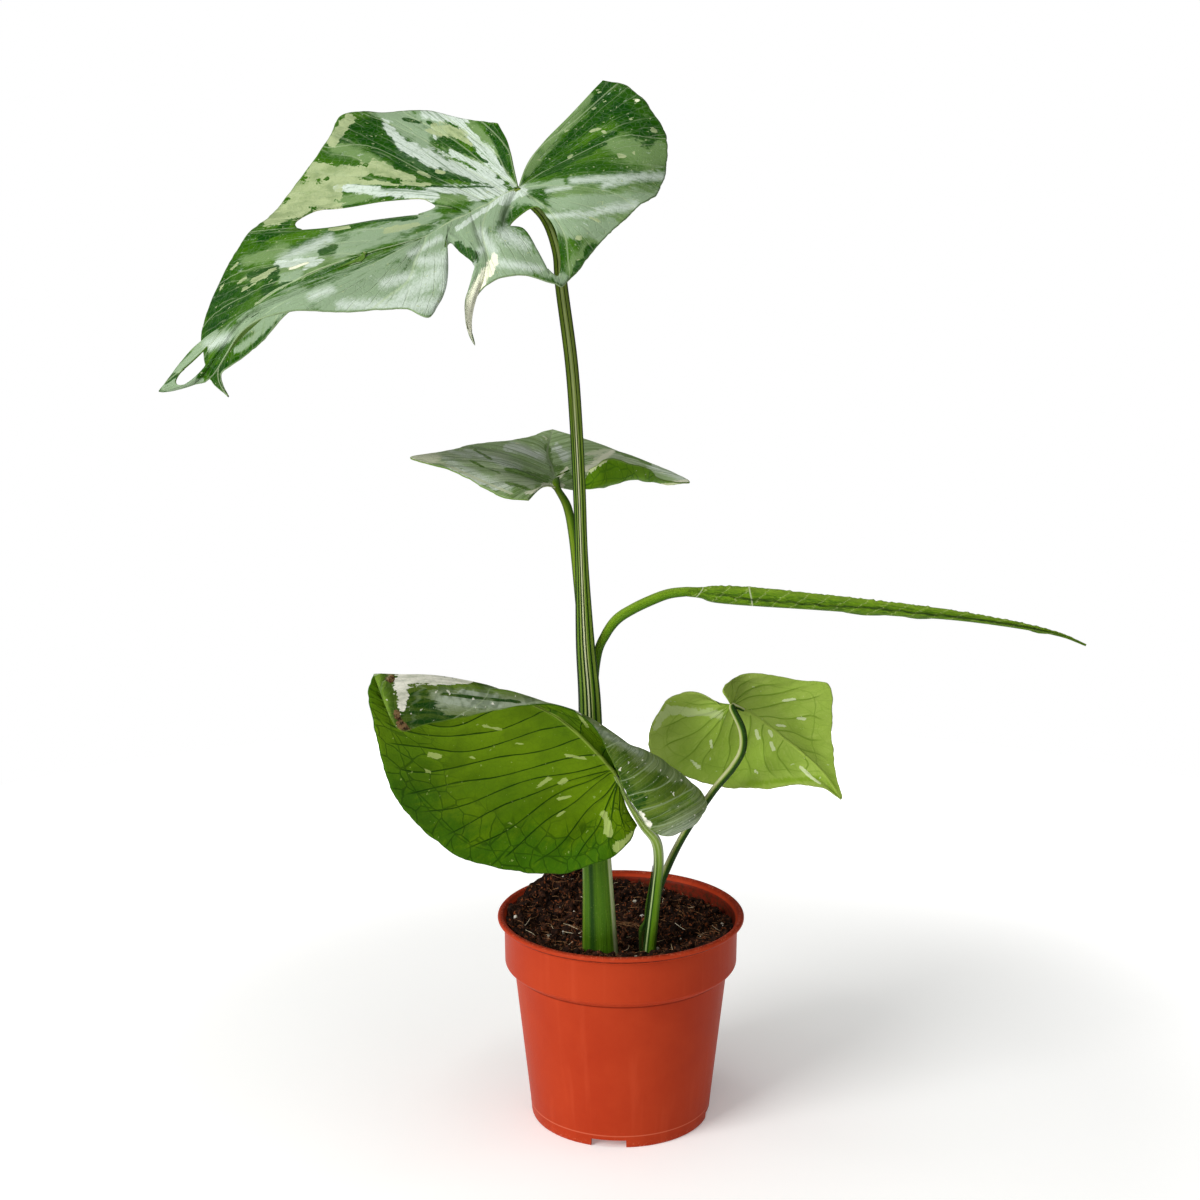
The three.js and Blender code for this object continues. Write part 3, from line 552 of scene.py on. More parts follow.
# The buried stem
# The short creeping stem under the soil that all five petioles grow from: a woody, ringed and
# tan-coloured axis. It keeps its CAD shape, and only its bark is finished here.
def stem_bark():
    paint = Finish("stem_bark")
    rings = paint.add("ShaderNodeTexWave", {"Vector": paint.place, "Scale": 60, "Distortion": 6, "Detail": 3})
    patches = paint.mottle(paint.place, 160, 4, 0.6)
    paint.colour = paint.mixed(rings, "6a5236", "8f7a4c")
    paint.coat(patches.rise(0.45, 0.6, 0, 0.7), "5c6b2c")
    return paint.done(patches.rise(0.3, 0.7, 0.6, 0.85), 0.5, rings, 0.0006)


buried = bpy.data.objects["buried_stem"]
buried.data.materials.clear()
buried.data.materials.append(stem_bark())


# Leaf 1's petiole
# The stout stalk of the top leaf, streaked lengthwise in dark green, light green and cream. Its base
# is a sheath that wraps the petioles of leaf 2 and of the rolled leaf.
PETIOLE_FOOT = 80.4
# Each station on a stalk is x, y, z, half width and half depth.
LEAF_1_PETIOLE = [
    (-9.5, -38, PETIOLE_FOOT, 8.8, 5.2), (-10, -38, 96, 8.6, 5.2), (-11.5, -38, 139, 6.9, 5),
    (-14, -38, 183, 6, 4.8), (-15, -38, 221, 5.2, 4.4), (-17, -38, 249, 4.3, 4), (-18.5, -38, 287, 3, 3.2),
    (-19.5, -39, 319, 2.9, 3), (-21, -40, 351, 2.9, 2.9), (-23, -42, 378, 2.9, 2.8),
    (-27, -46, 410, 2.8, 2.7), (-28.5, -47, 426, 2.7, 2.6), (-34, -43.5, 440, 2.6, 2.4),
    (-44.6, -39.5, 449.6, 2.2, 2), (-47.4, -40.4, 451, 1.2, 0.9),
]
# Each stripe is its place from the stalk's left side, -1, to its right side, 1, and its colour.
STOUT_STRIPES = [
    (-1.0, "0a1e04"), (-0.85, "0e2804"), (-0.8, "5f7f26"), (-0.66, "648426"), (-0.62, "0f2c03"),
    (-0.47, "143404"), (-0.43, "88a042"), (-0.33, "9cae5c"), (-0.29, "0f2c03"), (-0.15, "143404"),
    (-0.11, "dcdfb8"), (0.01, "ced49c"), (0.05, "0f2a03"), (0.17, "143404"), (0.21, "b0bb74"),
    (0.32, "6c8a22"), (0.42, "4f7810"), (0.46, "0f2c03"), (0.58, "143404"), (0.63, "7c9a30"),
    (0.82, "8aa43c"), (0.88, "2c5008"), (1.0, "122c04"),
]
STOUT_FOOT_STRIPES = [
    (-1.0, "2c4a08"), (-0.93, "6c8c22"), (-0.86, "446a0c"), (-0.62, "48700e"), (-0.5, "1e400a"),
    (-0.36, "22440a"), (-0.24, "42680a"), (0.0, "527a10"), (0.3, "46700c"), (0.55, "547c10"), (0.7, "48700e"),
    (0.76, "6a9024"), (0.79, "b4c486"), (0.84, "c8d49e"), (0.94, "bfcb90"), (0.98, "889e5a"), (1.0, "465e20"),
]
STOUT_TOP_STRIPES = [
    (-1.0, "182806"), (-0.88, "1e3008"), (-0.82, "5f7818"), (-0.45, "72882a"), (-0.38, "1c3008"),
    (-0.3, "1c3008"), (-0.24, "98a858"), (0.02, "b2be80"), (0.1, "9cac62"), (0.3, "82963c"), (0.36, "20340a"),
    (0.44, "20340a"), (0.5, "82963f"), (0.8, "748a30"), (0.86, "20340a"), (1.0, "182806"),
]
STOUT_FOOT_CHANGE = (75, 118)
STOUT_TOP_CHANGE = (255, 290)


def smooth_line(points, places):
    """Points at the given places, from 0 to 1, on the smooth line through the points."""
    points = np.asarray(points, float)
    spans = len(points) - 1
    padded = np.vstack([2 * points[0] - points[1], points, 2 * points[-1] - points[-2]])
    position = np.clip(np.asarray(places, float), 0, 1) * spans
    index = np.minimum(position.astype(int), spans - 1)
    t = (position - index)[:, None]
    before, start, end, after = (padded[index + k] for k in range(4))
    return curve_between(before, start, end, after, t)


def curve_between(before, start, end, after, t):
    return ((2 * t ** 3 - 3 * t ** 2 + 1) * start + (t ** 3 - 2 * t ** 2 + t) * (end - before) / 2
            + (-2 * t ** 3 + 3 * t ** 2) * end + (t ** 3 - t ** 2) * (after - start) / 2)


def travelled(points):
    """How far each point lies along the line, from its start."""
    return np.concatenate([[0], np.cumsum(np.linalg.norm(np.diff(points, axis=0), axis=1))])


def write_attribute(mesh, label, values, kind="FLOAT"):
    made = mesh.attributes.get(label) or mesh.attributes.new(label, kind, "POINT")
    key = "vector" if kind == "FLOAT_VECTOR" else "value"
    made.data.foreach_set(key, np.asarray(values, np.float32).ravel())


def swept_stalk(name, stations, finish, sides=32, pitch=1.6):
    """A Geometry Nodes tree sweeps an ellipse along the stations.

    The mesh keeps side (-1 left to 1 right), back (-1 front to 1 back) and along (mm from the foot).
    """
    stations = np.array(stations, float)
    places = np.linspace(0, 1, int(travelled(stations[:, :3])[-1] / pitch) + 1)
    line = smooth_line(stations, places)
    centres, half_width, half_depth = line[:, :3], line[:, 3:4], line[:, 4:5]
    headings = np.gradient(centres, axis=0)
    headings /= np.linalg.norm(headings, axis=1)[:, None]
    depth = np.array([0.0, 1.0, 0.0]) - headings * headings[:, 1:2]
    depth /= np.linalg.norm(depth, axis=1)[:, None]
    across = np.cross(depth, headings)
    thing = new_object(name, centres, [], [(k, k + 1) for k in range(len(centres) - 1)])
    write_attribute(thing.data, "centre", centres * MM, "FLOAT_VECTOR")
    write_attribute(thing.data, "half_across", across * half_width * MM, "FLOAT_VECTOR")
    write_attribute(thing.data, "half_depth", depth * half_depth * MM, "FLOAT_VECTOR")
    write_attribute(thing.data, "along", travelled(centres))
    tree = Tree("swept stalk")
    count = tree.size("Sides", sides, "NodeSocketInt")
    path = tree.add("GeometryNodeMeshToCurve", {0: tree.start})
    ring = tree.add("GeometryNodeCurvePrimitiveCircle", {"Resolution": count, "Radius": MM})
    turn = tree.add("ShaderNodeMath", {
        0: tree.add("GeometryNodeSplineParameter").outputs["Factor"], 1: 2 * math.pi}, operation="MULTIPLY")
    for label, wave in (("side", "COSINE"), ("back", "SINE")):
        share = tree.add("ShaderNodeMath", {0: turn}, operation=wave)
        ring = tree.add("GeometryNodeStoreNamedAttribute", {0: ring, "Name": label, "Value": share},
                        data_type="FLOAT", domain="POINT")
    tube = tree.add("GeometryNodeCurveToMesh", {0: path, 1: ring, "Fill Caps": True})

    def named(label, kind="FLOAT_VECTOR"):
        return tree.add("GeometryNodeInputNamedAttribute", {"Name": label}, data_type=kind)

    wide = tree.vector("SCALE", {0: named("half_across"), "Scale": named("side", "FLOAT")})
    deep = tree.vector("SCALE", {0: named("half_depth"), "Scale": named("back", "FLOAT")})
    spot = tree.vector("ADD", {0: named("centre"), 1: tree.vector("ADD", {0: wide, 1: deep})})
    shaped = tree.add("GeometryNodeSetPosition", {0: tube, "Position": spot})
    tree.finish(tree.add("GeometryNodeSetMaterial", {0: shaped, "Material": finish}), thing)
    thing.data.shade_smooth()
    return thing


def stalk_finish(name, stripes, foot=None, foot_change=None, top=None, top_change=None):
    """Fine lengthwise stripes, with others near the foot or the top, each changing over a stretch in mm.
    Where foot stripes are given, painted shade also darkens the stalk towards its foot.
    """
    paint = Finish(name)
    side, back, along = (paint.read(label) for label in ("side", "back", "along"))
    flow = paint.add("ShaderNodeCombineXYZ", {0: side, 1: back, 2: along * 0.005})
    wander = paint.mottle(flow, 1.6, 2, 0.5)
    lines = paint.mottle(flow, 11.0, 3, 0.6)
    speck = paint.mottle(paint.place, 1500, 2, 0.6)
    across = (wander - 0.5) * 0.06 + (side.calc("ARCSINE").calc("DIVIDE", math.pi) + 0.5)

    def striped(bands):
        return paint.graded(across, [(0.5 + math.asin(place) / math.pi, code) for place, code in bands])

    paint.colour = striped(stripes)
    if foot:
        paint.coat(along.rise(foot_change[1], foot_change[0]), striped(foot))
        # Painted shade: darker towards the foot, near the soil and between the stalks.
        paint.coat(along.rise(60, 5, 0, 0.4), "1c3c0a")
    if top:
        paint.coat(along.rise(*top_change), striped(top))
    paint.coat(lines.rise(0.56, 0.62, 0, 0.2), "24400c")
    paint.coat(speck.rise(0.62, 0.7, 0, 0.25), "8da04c")
    return paint.done(lines.rise(0.3, 0.7, 0.32, 0.46), 0.1, speck * 0.3 + lines, 0.0005)


stout = stalk_finish("stout_petiole", STOUT_STRIPES, STOUT_FOOT_STRIPES, STOUT_FOOT_CHANGE,
                     STOUT_TOP_STRIPES, STOUT_TOP_CHANGE)
leaf_1_stalk = swept_stalk("leaf_1_stalk", LEAF_1_PETIOLE, stout, sides=64)
settle(leaf_1_stalk, "petiole", "leaf_1_petiole")


# Leaf 1's blade
# The large split leaf: a thin, leathery sheet folded a little at its midrib, with one long opening, cut lobes
# and drip tips. Cream, silver and dark green are scattered over it in sectors and specks. The silver is
# partly painted sheen, and painted highlights lie over it.
VIEW_FROM = (-10.2, -971.0, 475.5)
VIEW_DOWN = math.radians(12.53)
VIEW_FOCUS = 2100
VIEW_MIDDLE = 600
BLADE_HALF = 0.3
MARGIN_WAVE = 0.9
VEIN_RIDGE = 0.8
EVENING_ROUNDS = 12
HOLE_STRIPS = 28
# A rib is its place on the midrib and the points from there to the margin. A hole is given by its
# rib's number, and says where it begins and ends along the rib, from 0 to 1, and how round its ends
# are. Veins are given by the number of the rib that they leave the midrib at.
LEAF_1 = {
    "midrib": [
        (-46, -38, 452), (-51, -43, 450), (-58, -50, 446), (-66, -58, 442), (-75, -68, 438), (-84, -78, 433),
        (-107, -95, 427), (-130, -100, 419), (-152, -93, 407), (-167, -80, 389), (-174, -70, 374),
        (-171, -64, 364),
    ],
    "left": [
        (0, (-49, -20, 462), (-52, -2, 472), (-57, 15, 480)),
        (0, (-52, -18, 460), (-58, 5, 469), (-74, 38, 482)),
        (0, (-57, -14, 459), (-72, 18, 470), (-94, 55, 486)),
        (1, (-66, -10, 458), (-86, 26, 471), (-112, 55, 485)),
        (2, (-79, -12, 457), (-103, 24, 470), (-131, 46, 484)),
        (2, (-86, -20, 454), (-112, 10, 463), (-138, 25, 470)),
        (3, (-82, -41, 447), (-104, -26, 446), (-130, -11, 442), (-157, 0, 442)),
        (3, (-84, -50, 441), (-108, -40, 438), (-134, -31, 434), (-167, -16, 432)),
        (6, (-136, -62, 424), (-175, -28, 419)),
        (7, (-155, -70, 414), (-181, -38, 404)),
        (8, (-168, -70, 398), (-185, -46, 389)),
        (9, (-176, -66, 382), (-181, -58, 376)),
        (10, (-177, -66, 370)),
    ],
    "right": [
        (0, (-42, -25, 463), (-35, -8, 472), (-23, 8, 484), (-9, 24, 499)),
        (0, (-36, -23, 462), (-24, -8, 471), (-9, 8, 484), (5, 20, 495)),
        (0, (-33, -26, 460), (-18, -16, 468), (1, -6, 477), (17, 4, 480)),
        (0, (-32, -35, 458), (-15, -32, 464), (4, -24, 467), (20, -14, 468)),
        (0, (-32, -43, 455), (-16, -49, 457), (1, -48, 456), (16, -42, 452)),
        (0, (-34, -52, 451), (-20, -64, 450), (-7, -66, 447), (6, -64, 445)),
        (0, (-36, -58, 448), (-26, -76, 443), (-17, -84, 438), (-9, -88, 432)),
        (0, (-38, -58, 448), (-30, -76, 443), (-23, -92, 433), (-18, -101, 422)),
        (0, (-39, -58, 447), (-33, -74, 442), (-28, -90, 434), (-25, -108, 415)),
        (0, (-51, -62, 438), (-42, -80, 436), (-36, -95, 428), (-29, -110, 416)),
        (1, (-53, -75, 437), (-47, -99, 428), (-40, -112, 419)),
        (2, (-59, -80, 435), (-55, -102, 425), (-51, -113, 418)),
        (3, (-61.5, -81, 434), (-57, -103, 424), (-58.5, -114, 413.5)),
        (3, (-62, -82, 434), (-57, -104, 423.5), (-60, -114.5, 412.5), (-62.7, -115, 405.6)),
        (3, (-62.4, -82, 434), (-57.3, -105, 423), (-61, -116, 410.5), (-62.9, -115, 399.8)),
        (3, (-62.8, -83, 434), (-57.6, -105, 423), (-61.4, -116.5, 410.5), (-63.6, -116, 401.5),
         (-62.2, -114.6, 395.6)),
        (3, (-63.2, -83, 434), (-58, -105, 423), (-61.8, -117, 410.5), (-63.9, -115.6, 401),
         (-61.3, -113, 391.5)),
        (3, (-63.6, -83, 434), (-58.4, -104, 423.5), (-62.2, -116.5, 411), (-64.2, -116, 402),
         (-63.3, -114.6, 395.4)),
        (3, (-64, -82.5, 434), (-58.8, -103, 424), (-62.4, -116, 411.5), (-64.6, -115, 400.2)),
        (3, (-64.5, -82, 434), (-59.2, -102, 424.5), (-62.8, -115, 413), (-65, -115, 406)),
        (3, (-65, -81, 434), (-59.6, -101, 425), (-62, -112.5, 417), (-64.3, -115, 411)),
        (3, (-66.5, -78, 435), (-60.5, -97, 427), (-61.2, -111, 417.7)),
        (3, (-68.5, -76, 435), (-63.5, -90, 429.5), (-61.8, -102, 423)),
        (3, (-71, -74, 434), (-71, -82, 432), (-68, -90, 427)),
        (4, (-75, -76, 434), (-74, -84, 430)),
        (4, (-75, -88, 429), (-74, -105, 424), (-73, -124, 414), (-76, -138, 406)),
        (5, (-85, -100, 425), (-86, -118, 417), (-88, -138, 408)),
        (5, (-93, -106, 424), (-101, -124, 415), (-111, -139, 407)),
        (5, (-99, -108, 423), (-113, -126, 416), (-133, -140, 407)),
        (5, (-104, -108, 423), (-128, -128, 413), (-151, -136, 400)),
        (5, (-108, -108, 422), (-137, -128, 409), (-152, -131, 401), (-165, -132, 381)),
        (5, (-109, -107, 422), (-134, -125, 411), (-152, -130, 402), (-167, -130, 384), (-175, -126, 376)),
        (5, (-110, -106, 422), (-132, -122, 414), (-153, -130, 404), (-171, -129, 381), (-188, -121, 373)),
        (5, (-112, -104, 422), (-135, -118, 414), (-156, -125, 403), (-171, -124, 389), (-187, -120, 376)),
        (6, (-132, -113, 416), (-152, -119, 405), (-171, -118, 394)),
        (6, (-125, -109, 419), (-144, -112, 409)),
        (6, (-114, -104, 423), (-123, -107, 419)),
        (6, (-107, -98, 425), (-108, -101, 424)),
        (6, (-114, -100, 423), (-122, -106, 415)),
        (7, (-135, -103, 411), (-139, -104, 403)),
        (8, (-153, -93, 398), (-154, -93, 388)),
        (9, (-168, -81, 383), (-170, -81, 377)),
        (10, (-172, -73, 371)),
    ],
    "holes": {"left": {6: (0.26, 0.87, 0.08)}, "right": {8: (0.3, 0.95, 0.08), 32: (0.74, 0.91, 0.03)}},
    "veins": {
        "left": [0, 1, 2, 3, 4.4, 6.5, 8, 9.2, 10.2],
        "right": [0, 2, 4.4, 7, 11, 26, 29, 32.5, 37, 39],
    },
}
# A mark is the two ends of its middle line in the photograph's pixels and the half widths there.
LEAF_1_MARKS = {
    "ivory": {
        "right": [
            (494, 261, 482, 282, 5, 6), (480, 286, 468, 312, 7, 9), (470, 310, 474, 348, 9, 9),
            (634, 101, 639, 101, 1.6, 1.6),
        ],
        "left": [(291, 271, 309, 264, 1.4, 1.2), (303, 280, 324, 272, 1.6, 1.4)],
    },
    "sage": {
        "right": [
            (590, 98, 545, 148, 4, 9), (535, 160, 528, 174, 8, 4), (612, 146, 655, 158, 12, 22),
            (560, 196, 655, 196, 12, 18), (556, 225, 625, 222, 18, 20), (596, 240, 572, 268, 10, 8),
            (250, 345, 275, 330, 8, 12), (196, 350, 208, 340, 8, 8),
        ],
        "left": [
            (470, 124, 498, 154, 7, 6), (446, 145, 484, 165, 5, 2), (336, 146, 386, 168, 8, 6),
            (250, 262, 282, 252, 8, 10), (282, 272, 340, 256, 14, 12), (340, 203, 378, 197, 6, 5),
            (440, 200, 470, 199, 6, 5), (250, 278, 270, 272, 6, 5),
        ],
    },
    # Grey-green, partly the leaf's own tone and partly painted sheen.
    "grey": {
        "right": [
            (524, 188, 560, 184, 3, 5), (526, 200, 540, 206, 5, 4), (430, 285, 520, 270, 26, 18),
            (330, 302, 425, 285, 26, 40), (250, 325, 300, 305, 12, 22), (210, 345, 260, 322, 6, 10),
            (440, 250, 520, 195, 20, 12), (470, 250, 540, 265, 24, 14), (172, 388, 192, 380, 10, 8),
            (238, 350, 280, 322, 4, 8), (214, 338, 190, 362, 8, 6), (190, 362, 165, 388, 6, 6),
            (172, 390, 200, 382, 6, 5), (545, 272, 568, 282, 6, 6), (556, 206, 655, 200, 8, 12),
            (545, 226, 610, 232, 10, 14),
        ],
        "left": [
            (340, 250, 430, 215, 12, 10), (392, 112, 425, 140, 20, 12), (420, 118, 440, 130, 9, 8),
            (300, 262, 350, 244, 6, 6), (285, 282, 300, 276, 7, 6),
        ],
        "both": [(496, 204, 400, 256, 9, 10), (400, 256, 330, 288, 7, 3)],
    },
    # Painted highlights where the leaf's sheen catches the light.
    "painted_highlight": {
        "right": [
            (572, 182, 664, 177, 5, 7), (604, 186, 640, 178, 6, 6), (545, 217, 596, 215, 4, 6),
            (597, 213, 634, 206, 6, 8), (548, 192, 570, 188, 4, 4), (400, 300, 440, 274, 12, 16),
            (340, 306, 440, 306, 7, 14), (312, 298, 332, 291, 7, 6), (384, 285, 412, 276, 8, 7),
            (420, 262, 452, 262, 8, 14), (505, 236, 526, 246, 14, 10), (500, 264, 540, 270, 7, 5),
            (482, 234, 494, 252, 9, 8), (210, 346, 228, 338, 8, 7), (442, 290, 452, 262, 6, 9),
            (470, 270, 482, 250, 5, 5), (410, 255, 440, 240, 5, 5),
        ],
        "left": [(282, 262, 330, 240, 8, 8)],
    },
    # Silver, partly the leaf's own variegation and partly painted sheen.
    "silver_and_sheen": {
        "left": [
            (384, 122, 404, 150, 4, 7), (404, 152, 440, 163, 9, 11), (424, 160, 500, 184, 12, 5),
            (459, 122, 484, 150, 4, 6), (484, 150, 505, 178, 9, 4), (424, 114, 464, 120, 6, 6),
            (452, 153, 496, 176, 3, 4), (338, 189, 380, 192, 5, 5), (372, 193, 434, 197, 5, 6),
            (430, 191, 500, 192, 4, 8), (470, 197, 490, 194, 5, 6), (278, 266, 315, 262, 4, 5),
            (305, 270, 322, 262, 3, 3), (494, 166, 514, 185, 4, 3), (436, 140, 432, 128, 1.5, 1.5),
        ],
        "right": [(498, 200, 510, 192, 5, 5), (496, 203, 458, 230, 2.4, 3), (502, 204, 522, 192, 4, 6)],
    },
    "dark": {
        "right": [
            (604, 84, 600, 116, 7, 11), (600, 114, 560, 149, 11, 4), (560, 149, 548, 158, 4, 2),
            (537, 177, 560, 168, 3, 6), (560, 167, 600, 143, 7, 7), (600, 141, 616, 134, 5, 2),
            (612, 102, 648, 136, 11, 12), (594, 252, 574, 278, 8, 7), (457, 247, 474, 258, 5, 6),
            (218, 372, 222, 392, 8, 6), (165, 381, 176, 375, 4, 3), (288, 318, 250, 352, 6, 5),
            (250, 356, 226, 366, 5, 3),
        ],
        "left": [
            (493, 130, 510, 174, 6, 3), (500, 128, 507, 150, 5, 5), (442, 141, 488, 163, 6, 1),
            (398, 166, 470, 182, 8, 2), (346, 136, 374, 126, 10, 10), (366, 136, 384, 150, 12, 12),
            (384, 152, 440, 178, 9, 5), (286, 226, 262, 240, 5, 6), (250, 290, 226, 300, 8, 14),
            (226, 290, 216, 326, 12, 12), (252, 276, 277, 268, 5, 3), (268, 290, 277, 272, 8, 4),
            (362, 223, 416, 219, 2, 2.6), (322, 254, 334, 250, 4, 5), (340, 210, 360, 206, 3, 1.5),
            (282, 286, 303, 281, 3, 2), (400, 187.5, 494, 188, 1.2, 1), (428, 123, 436, 126, 1.5, 1.5),
            (404, 120, 420, 123, 2, 2),
        ],
    },
    "cream": {
        "left": [
            (350, 119, 332, 142, 6, 5), (314, 172, 362, 172, 8, 8), (300, 196, 332, 196, 17, 13),
            (268, 218, 296, 208, 10, 13), (376, 168, 414, 181, 8, 3), (330, 183, 430, 186, 3, 1.6),
            (434, 130, 462, 134, 6, 5), (462, 138, 472, 146, 3, 1.5), (419, 173, 429, 177, 2, 2),
            (437, 173, 444, 174, 2, 2), (388, 232, 418, 226, 3.5, 2.5), (330, 231, 350, 229, 1.8, 1.8),
            (232, 271, 239, 264, 1.3, 1.2), (240, 284, 248, 278, 1.8, 1.4), (254, 283, 276, 270, 3.2, 1.8),
            (243, 291, 249, 288, 1.2, 1), (221, 289, 225, 284, 1.3, 1), (257, 306, 274, 296, 2.4, 2),
            (291, 271, 309, 264, 1.8, 1.6), (303, 280, 324, 272, 2.2, 1.8), (333, 272, 365, 262, 1.8, 2),
        ],
        "right": [
            (619, 157, 624, 158, 2.2, 2), (591, 133, 600, 130, 1.6, 1.2), (634, 101, 639, 101, 2.2, 2),
            (630, 121, 633, 120, 2, 1.5), (652, 130, 655, 132, 2, 2), (597, 90, 599, 93, 1.6, 1.6),
            (654, 108, 657, 112, 1.8, 1.2), (577, 239, 580, 239, 2.4, 2.2), (590, 219, 598, 222, 1.6, 1.6),
            (604, 101, 605, 102, 1.2, 1.2), (614, 119, 615, 119, 1.2, 1.2), (604, 133, 606, 134, 1.4, 1.2),
            (633, 154, 634, 155, 1.5, 1.5), (565, 132, 567, 131, 1.6, 1.4), (569, 158, 572, 156, 1.5, 1.5),
        ],
    },
}
MARK_COLOURS = ("cream", "ivory", "silver_and_sheen", "painted_highlight", "dark", "grey", "sage", "dead")


def seen(points):
    """Where points in millimetres appear in the 1200 by 1200 photograph."""
    offset = points - np.array(VIEW_FROM)
    depth = offset @ np.array([0, math.cos(VIEW_DOWN), -math.sin(VIEW_DOWN)])
    rise = offset @ np.array([0, math.sin(VIEW_DOWN), math.cos(VIEW_DOWN)])
    across, up = VIEW_FOCUS * offset[:, 0] / depth, VIEW_FOCUS * rise / depth
    return np.stack([VIEW_MIDDLE + across, VIEW_MIDDLE - up], 1)


def row_places(hole, share, rows):
    """The rows' places on a rib, with two of them on the edges of the hole."""
    places = np.arange(rows + 1) / rows
    if not hole:
        return places, None
    begin, end, roundness = hole
    first = round(begin * rows)
    last = min(round(end * rows), rows - 1)
    inset = roundness * (1 - math.sqrt(max(0, 1 - (2 * share - 1) ** 2)))
    places = np.interp(places, [0, first / rows, last / rows, 1], [0, begin + inset, end - inset, 1])
    return places, (first, last)


def vein_gaps(points, ribs, vein):
    """Distance to a side vein that leaves the midrib at this rib and bends towards the tip."""
    columns, rows = points.shape[:2]
    spots = np.arange(0, rows - 0.9, 0.25)
    share = spots / (rows - 1)
    course = vein + 0.55 * share ** 2 + 0.07 * np.sin(11 * share + 5 * vein)
    column = np.interp(course, ribs, np.arange(columns))
    low = np.minimum(column.astype(int), columns - 2)
    row = np.minimum(spots.astype(int), rows - 2)
    slide, drop = (column - low)[:, None], (spots - row)[:, None]
    line = ((points[low, row] * (1 - slide) + points[low + 1, row] * slide) * (1 - drop)
            + (points[low, row + 1] * (1 - slide) + points[low + 1, row + 1] * slide) * drop)
    gap = np.full((columns, rows), 1e3)
    for shift in range(-8, 9):
        picked = line[np.clip(np.arange(rows) * 4 + shift, 0, len(line) - 1)]
        gap = np.minimum(gap, np.linalg.norm(points - picked[None], axis=2))
    return gap


def vein_places(points, ribs, veins):
    """Each point's place among the side veins, counted in veins, and their spacing in millimetres there."""
    share = np.arange(points.shape[1]) / (points.shape[1] - 1)
    course = ribs[:, None] - 0.55 * share ** 2
    course = course - 0.07 * np.sin(11 * share + 5 * course)
    count = len(veins)
    place = np.interp(course, [veins[0] - 1, *veins, veins[-1] + 1], np.arange(-1, count + 1))
    place = np.clip(place, -0.5, count - 0.5)
    slope_across, slope_out = np.gradient(place)
    across, out = np.gradient(points, axis=0), np.gradient(points, axis=1)
    square_across, square_out = (across * across).sum(2), (out * out).sum(2)
    mixed = (across * out).sum(2)
    steepness = (square_out * slope_across ** 2 - 2 * mixed * slope_across * slope_out
                 + square_across * slope_out ** 2)
    steepness /= np.maximum(square_across * square_out - mixed ** 2, 1e-4)
    return place, np.clip(1 / np.sqrt(np.maximum(steepness, 1e-6)), 0, 60)


def waved(points):
    """The margin of each half wavers in and out a little, and draws the rows beside it along."""
    margin = points[:, -1]
    outward = margin - points[:, -5]
    outward /= np.maximum(np.linalg.norm(outward, axis=1), 1e-6)[:, None]
    wave = np.array([
        noise.noise(Vector(spot * 0.11)) + 0.5 * noise.noise(Vector(spot * 0.37)) for spot in margin])
    away = np.linalg.norm(points - margin[:, None], axis=2)
    share = np.clip(1 - away / 6, 0, 1) * np.arange(points.shape[1]) / (points.shape[1] - 1)
    return points + MARGIN_WAVE * (wave[:, None] * share)[..., None] * outward[:, None]


def half_sheet(leaf, side, rows, per_station):
    """One half of a blade: points, quads and, for each point, its place on the blade."""
    midrib = leaf["midrib"]
    spans = len(midrib) - 1
    ribs = leaf[side] + [(spans,)]
    holes = leaf.get("holes", {}).get(side, {})
    starts = smooth_line(midrib, [rib[0] / spans for rib in ribs])
    lines = [np.vstack([start, *(rib[1:] or [start])]) for start, rib in zip(starts, ribs)]
    points, places_of, open_rows = [], [], []
    for r in range(len(ribs) - 1):
        here, after, hole = ribs[r][0], ribs[r + 1][0], holes.get(r)
        gap = np.abs(smooth_line(lines[r], [0.5, 1]) - smooth_line(lines[r + 1], [0.5, 1])).max()
        strips = round(per_station * (after - here)) or int(np.clip(gap / 1.5, 3, 24))
        strips = HOLE_STRIPS if hole else strips
        for k in range(strips + (r == len(ribs) - 2)):
            share = k / strips
            places, edges = row_places(hole, share, rows)
            rails = [smooth_line(lines[j], places) for j in range(len(ribs)) if r - 1 <= j <= r + 2]
            if r == 0:
                rails.insert(0, 2 * rails[0] - rails[1])
            if r == len(ribs) - 2:
                rails.append(2 * rails[-1] - rails[-2])
            column = curve_between(*rails, share)
            column[0] = smooth_line(midrib, [(here + (after - here) * share) / spans])[0]
            points.append(column)
            places_of.append(r + share)
            open_rows.append(edges if k < strips else None)
    points, rib_places = waved(np.array(points)), np.array(places_of)
    gaps = np.min([vein_gaps(points, rib_places, vein) for vein in leaf["veins"][side]], axis=0)
    vein_place, vein_spacing = vein_places(points, rib_places, leaf["veins"][side])
    steps = np.linalg.norm(np.diff(points, axis=1), axis=2)
    reach = np.concatenate([np.zeros((len(points), 1)), np.cumsum(steps, axis=1)], axis=1)
    quads = []
    for c in range(len(points) - 1):
        for row in range(rows):
            if open_rows[c] and open_rows[c][0] <= row < open_rows[c][1]:
                continue
            a = c * (rows + 1) + row
            quad = [a, a + rows + 1, a + rows + 2, a + 1]
            quads.append(quad[::-1] if side == "right" else quad)
    return {
        "points": points.reshape(-1, 3), "quads": quads, "reach": reach.ravel(), "vein_gap": gaps.ravel(),
        "rib": np.repeat(places_of, rows + 1), "length": np.repeat(reach[:, -1], rows + 1),
        "vein_place": vein_place.ravel(), "vein_spacing": vein_spacing.ravel(),
    }


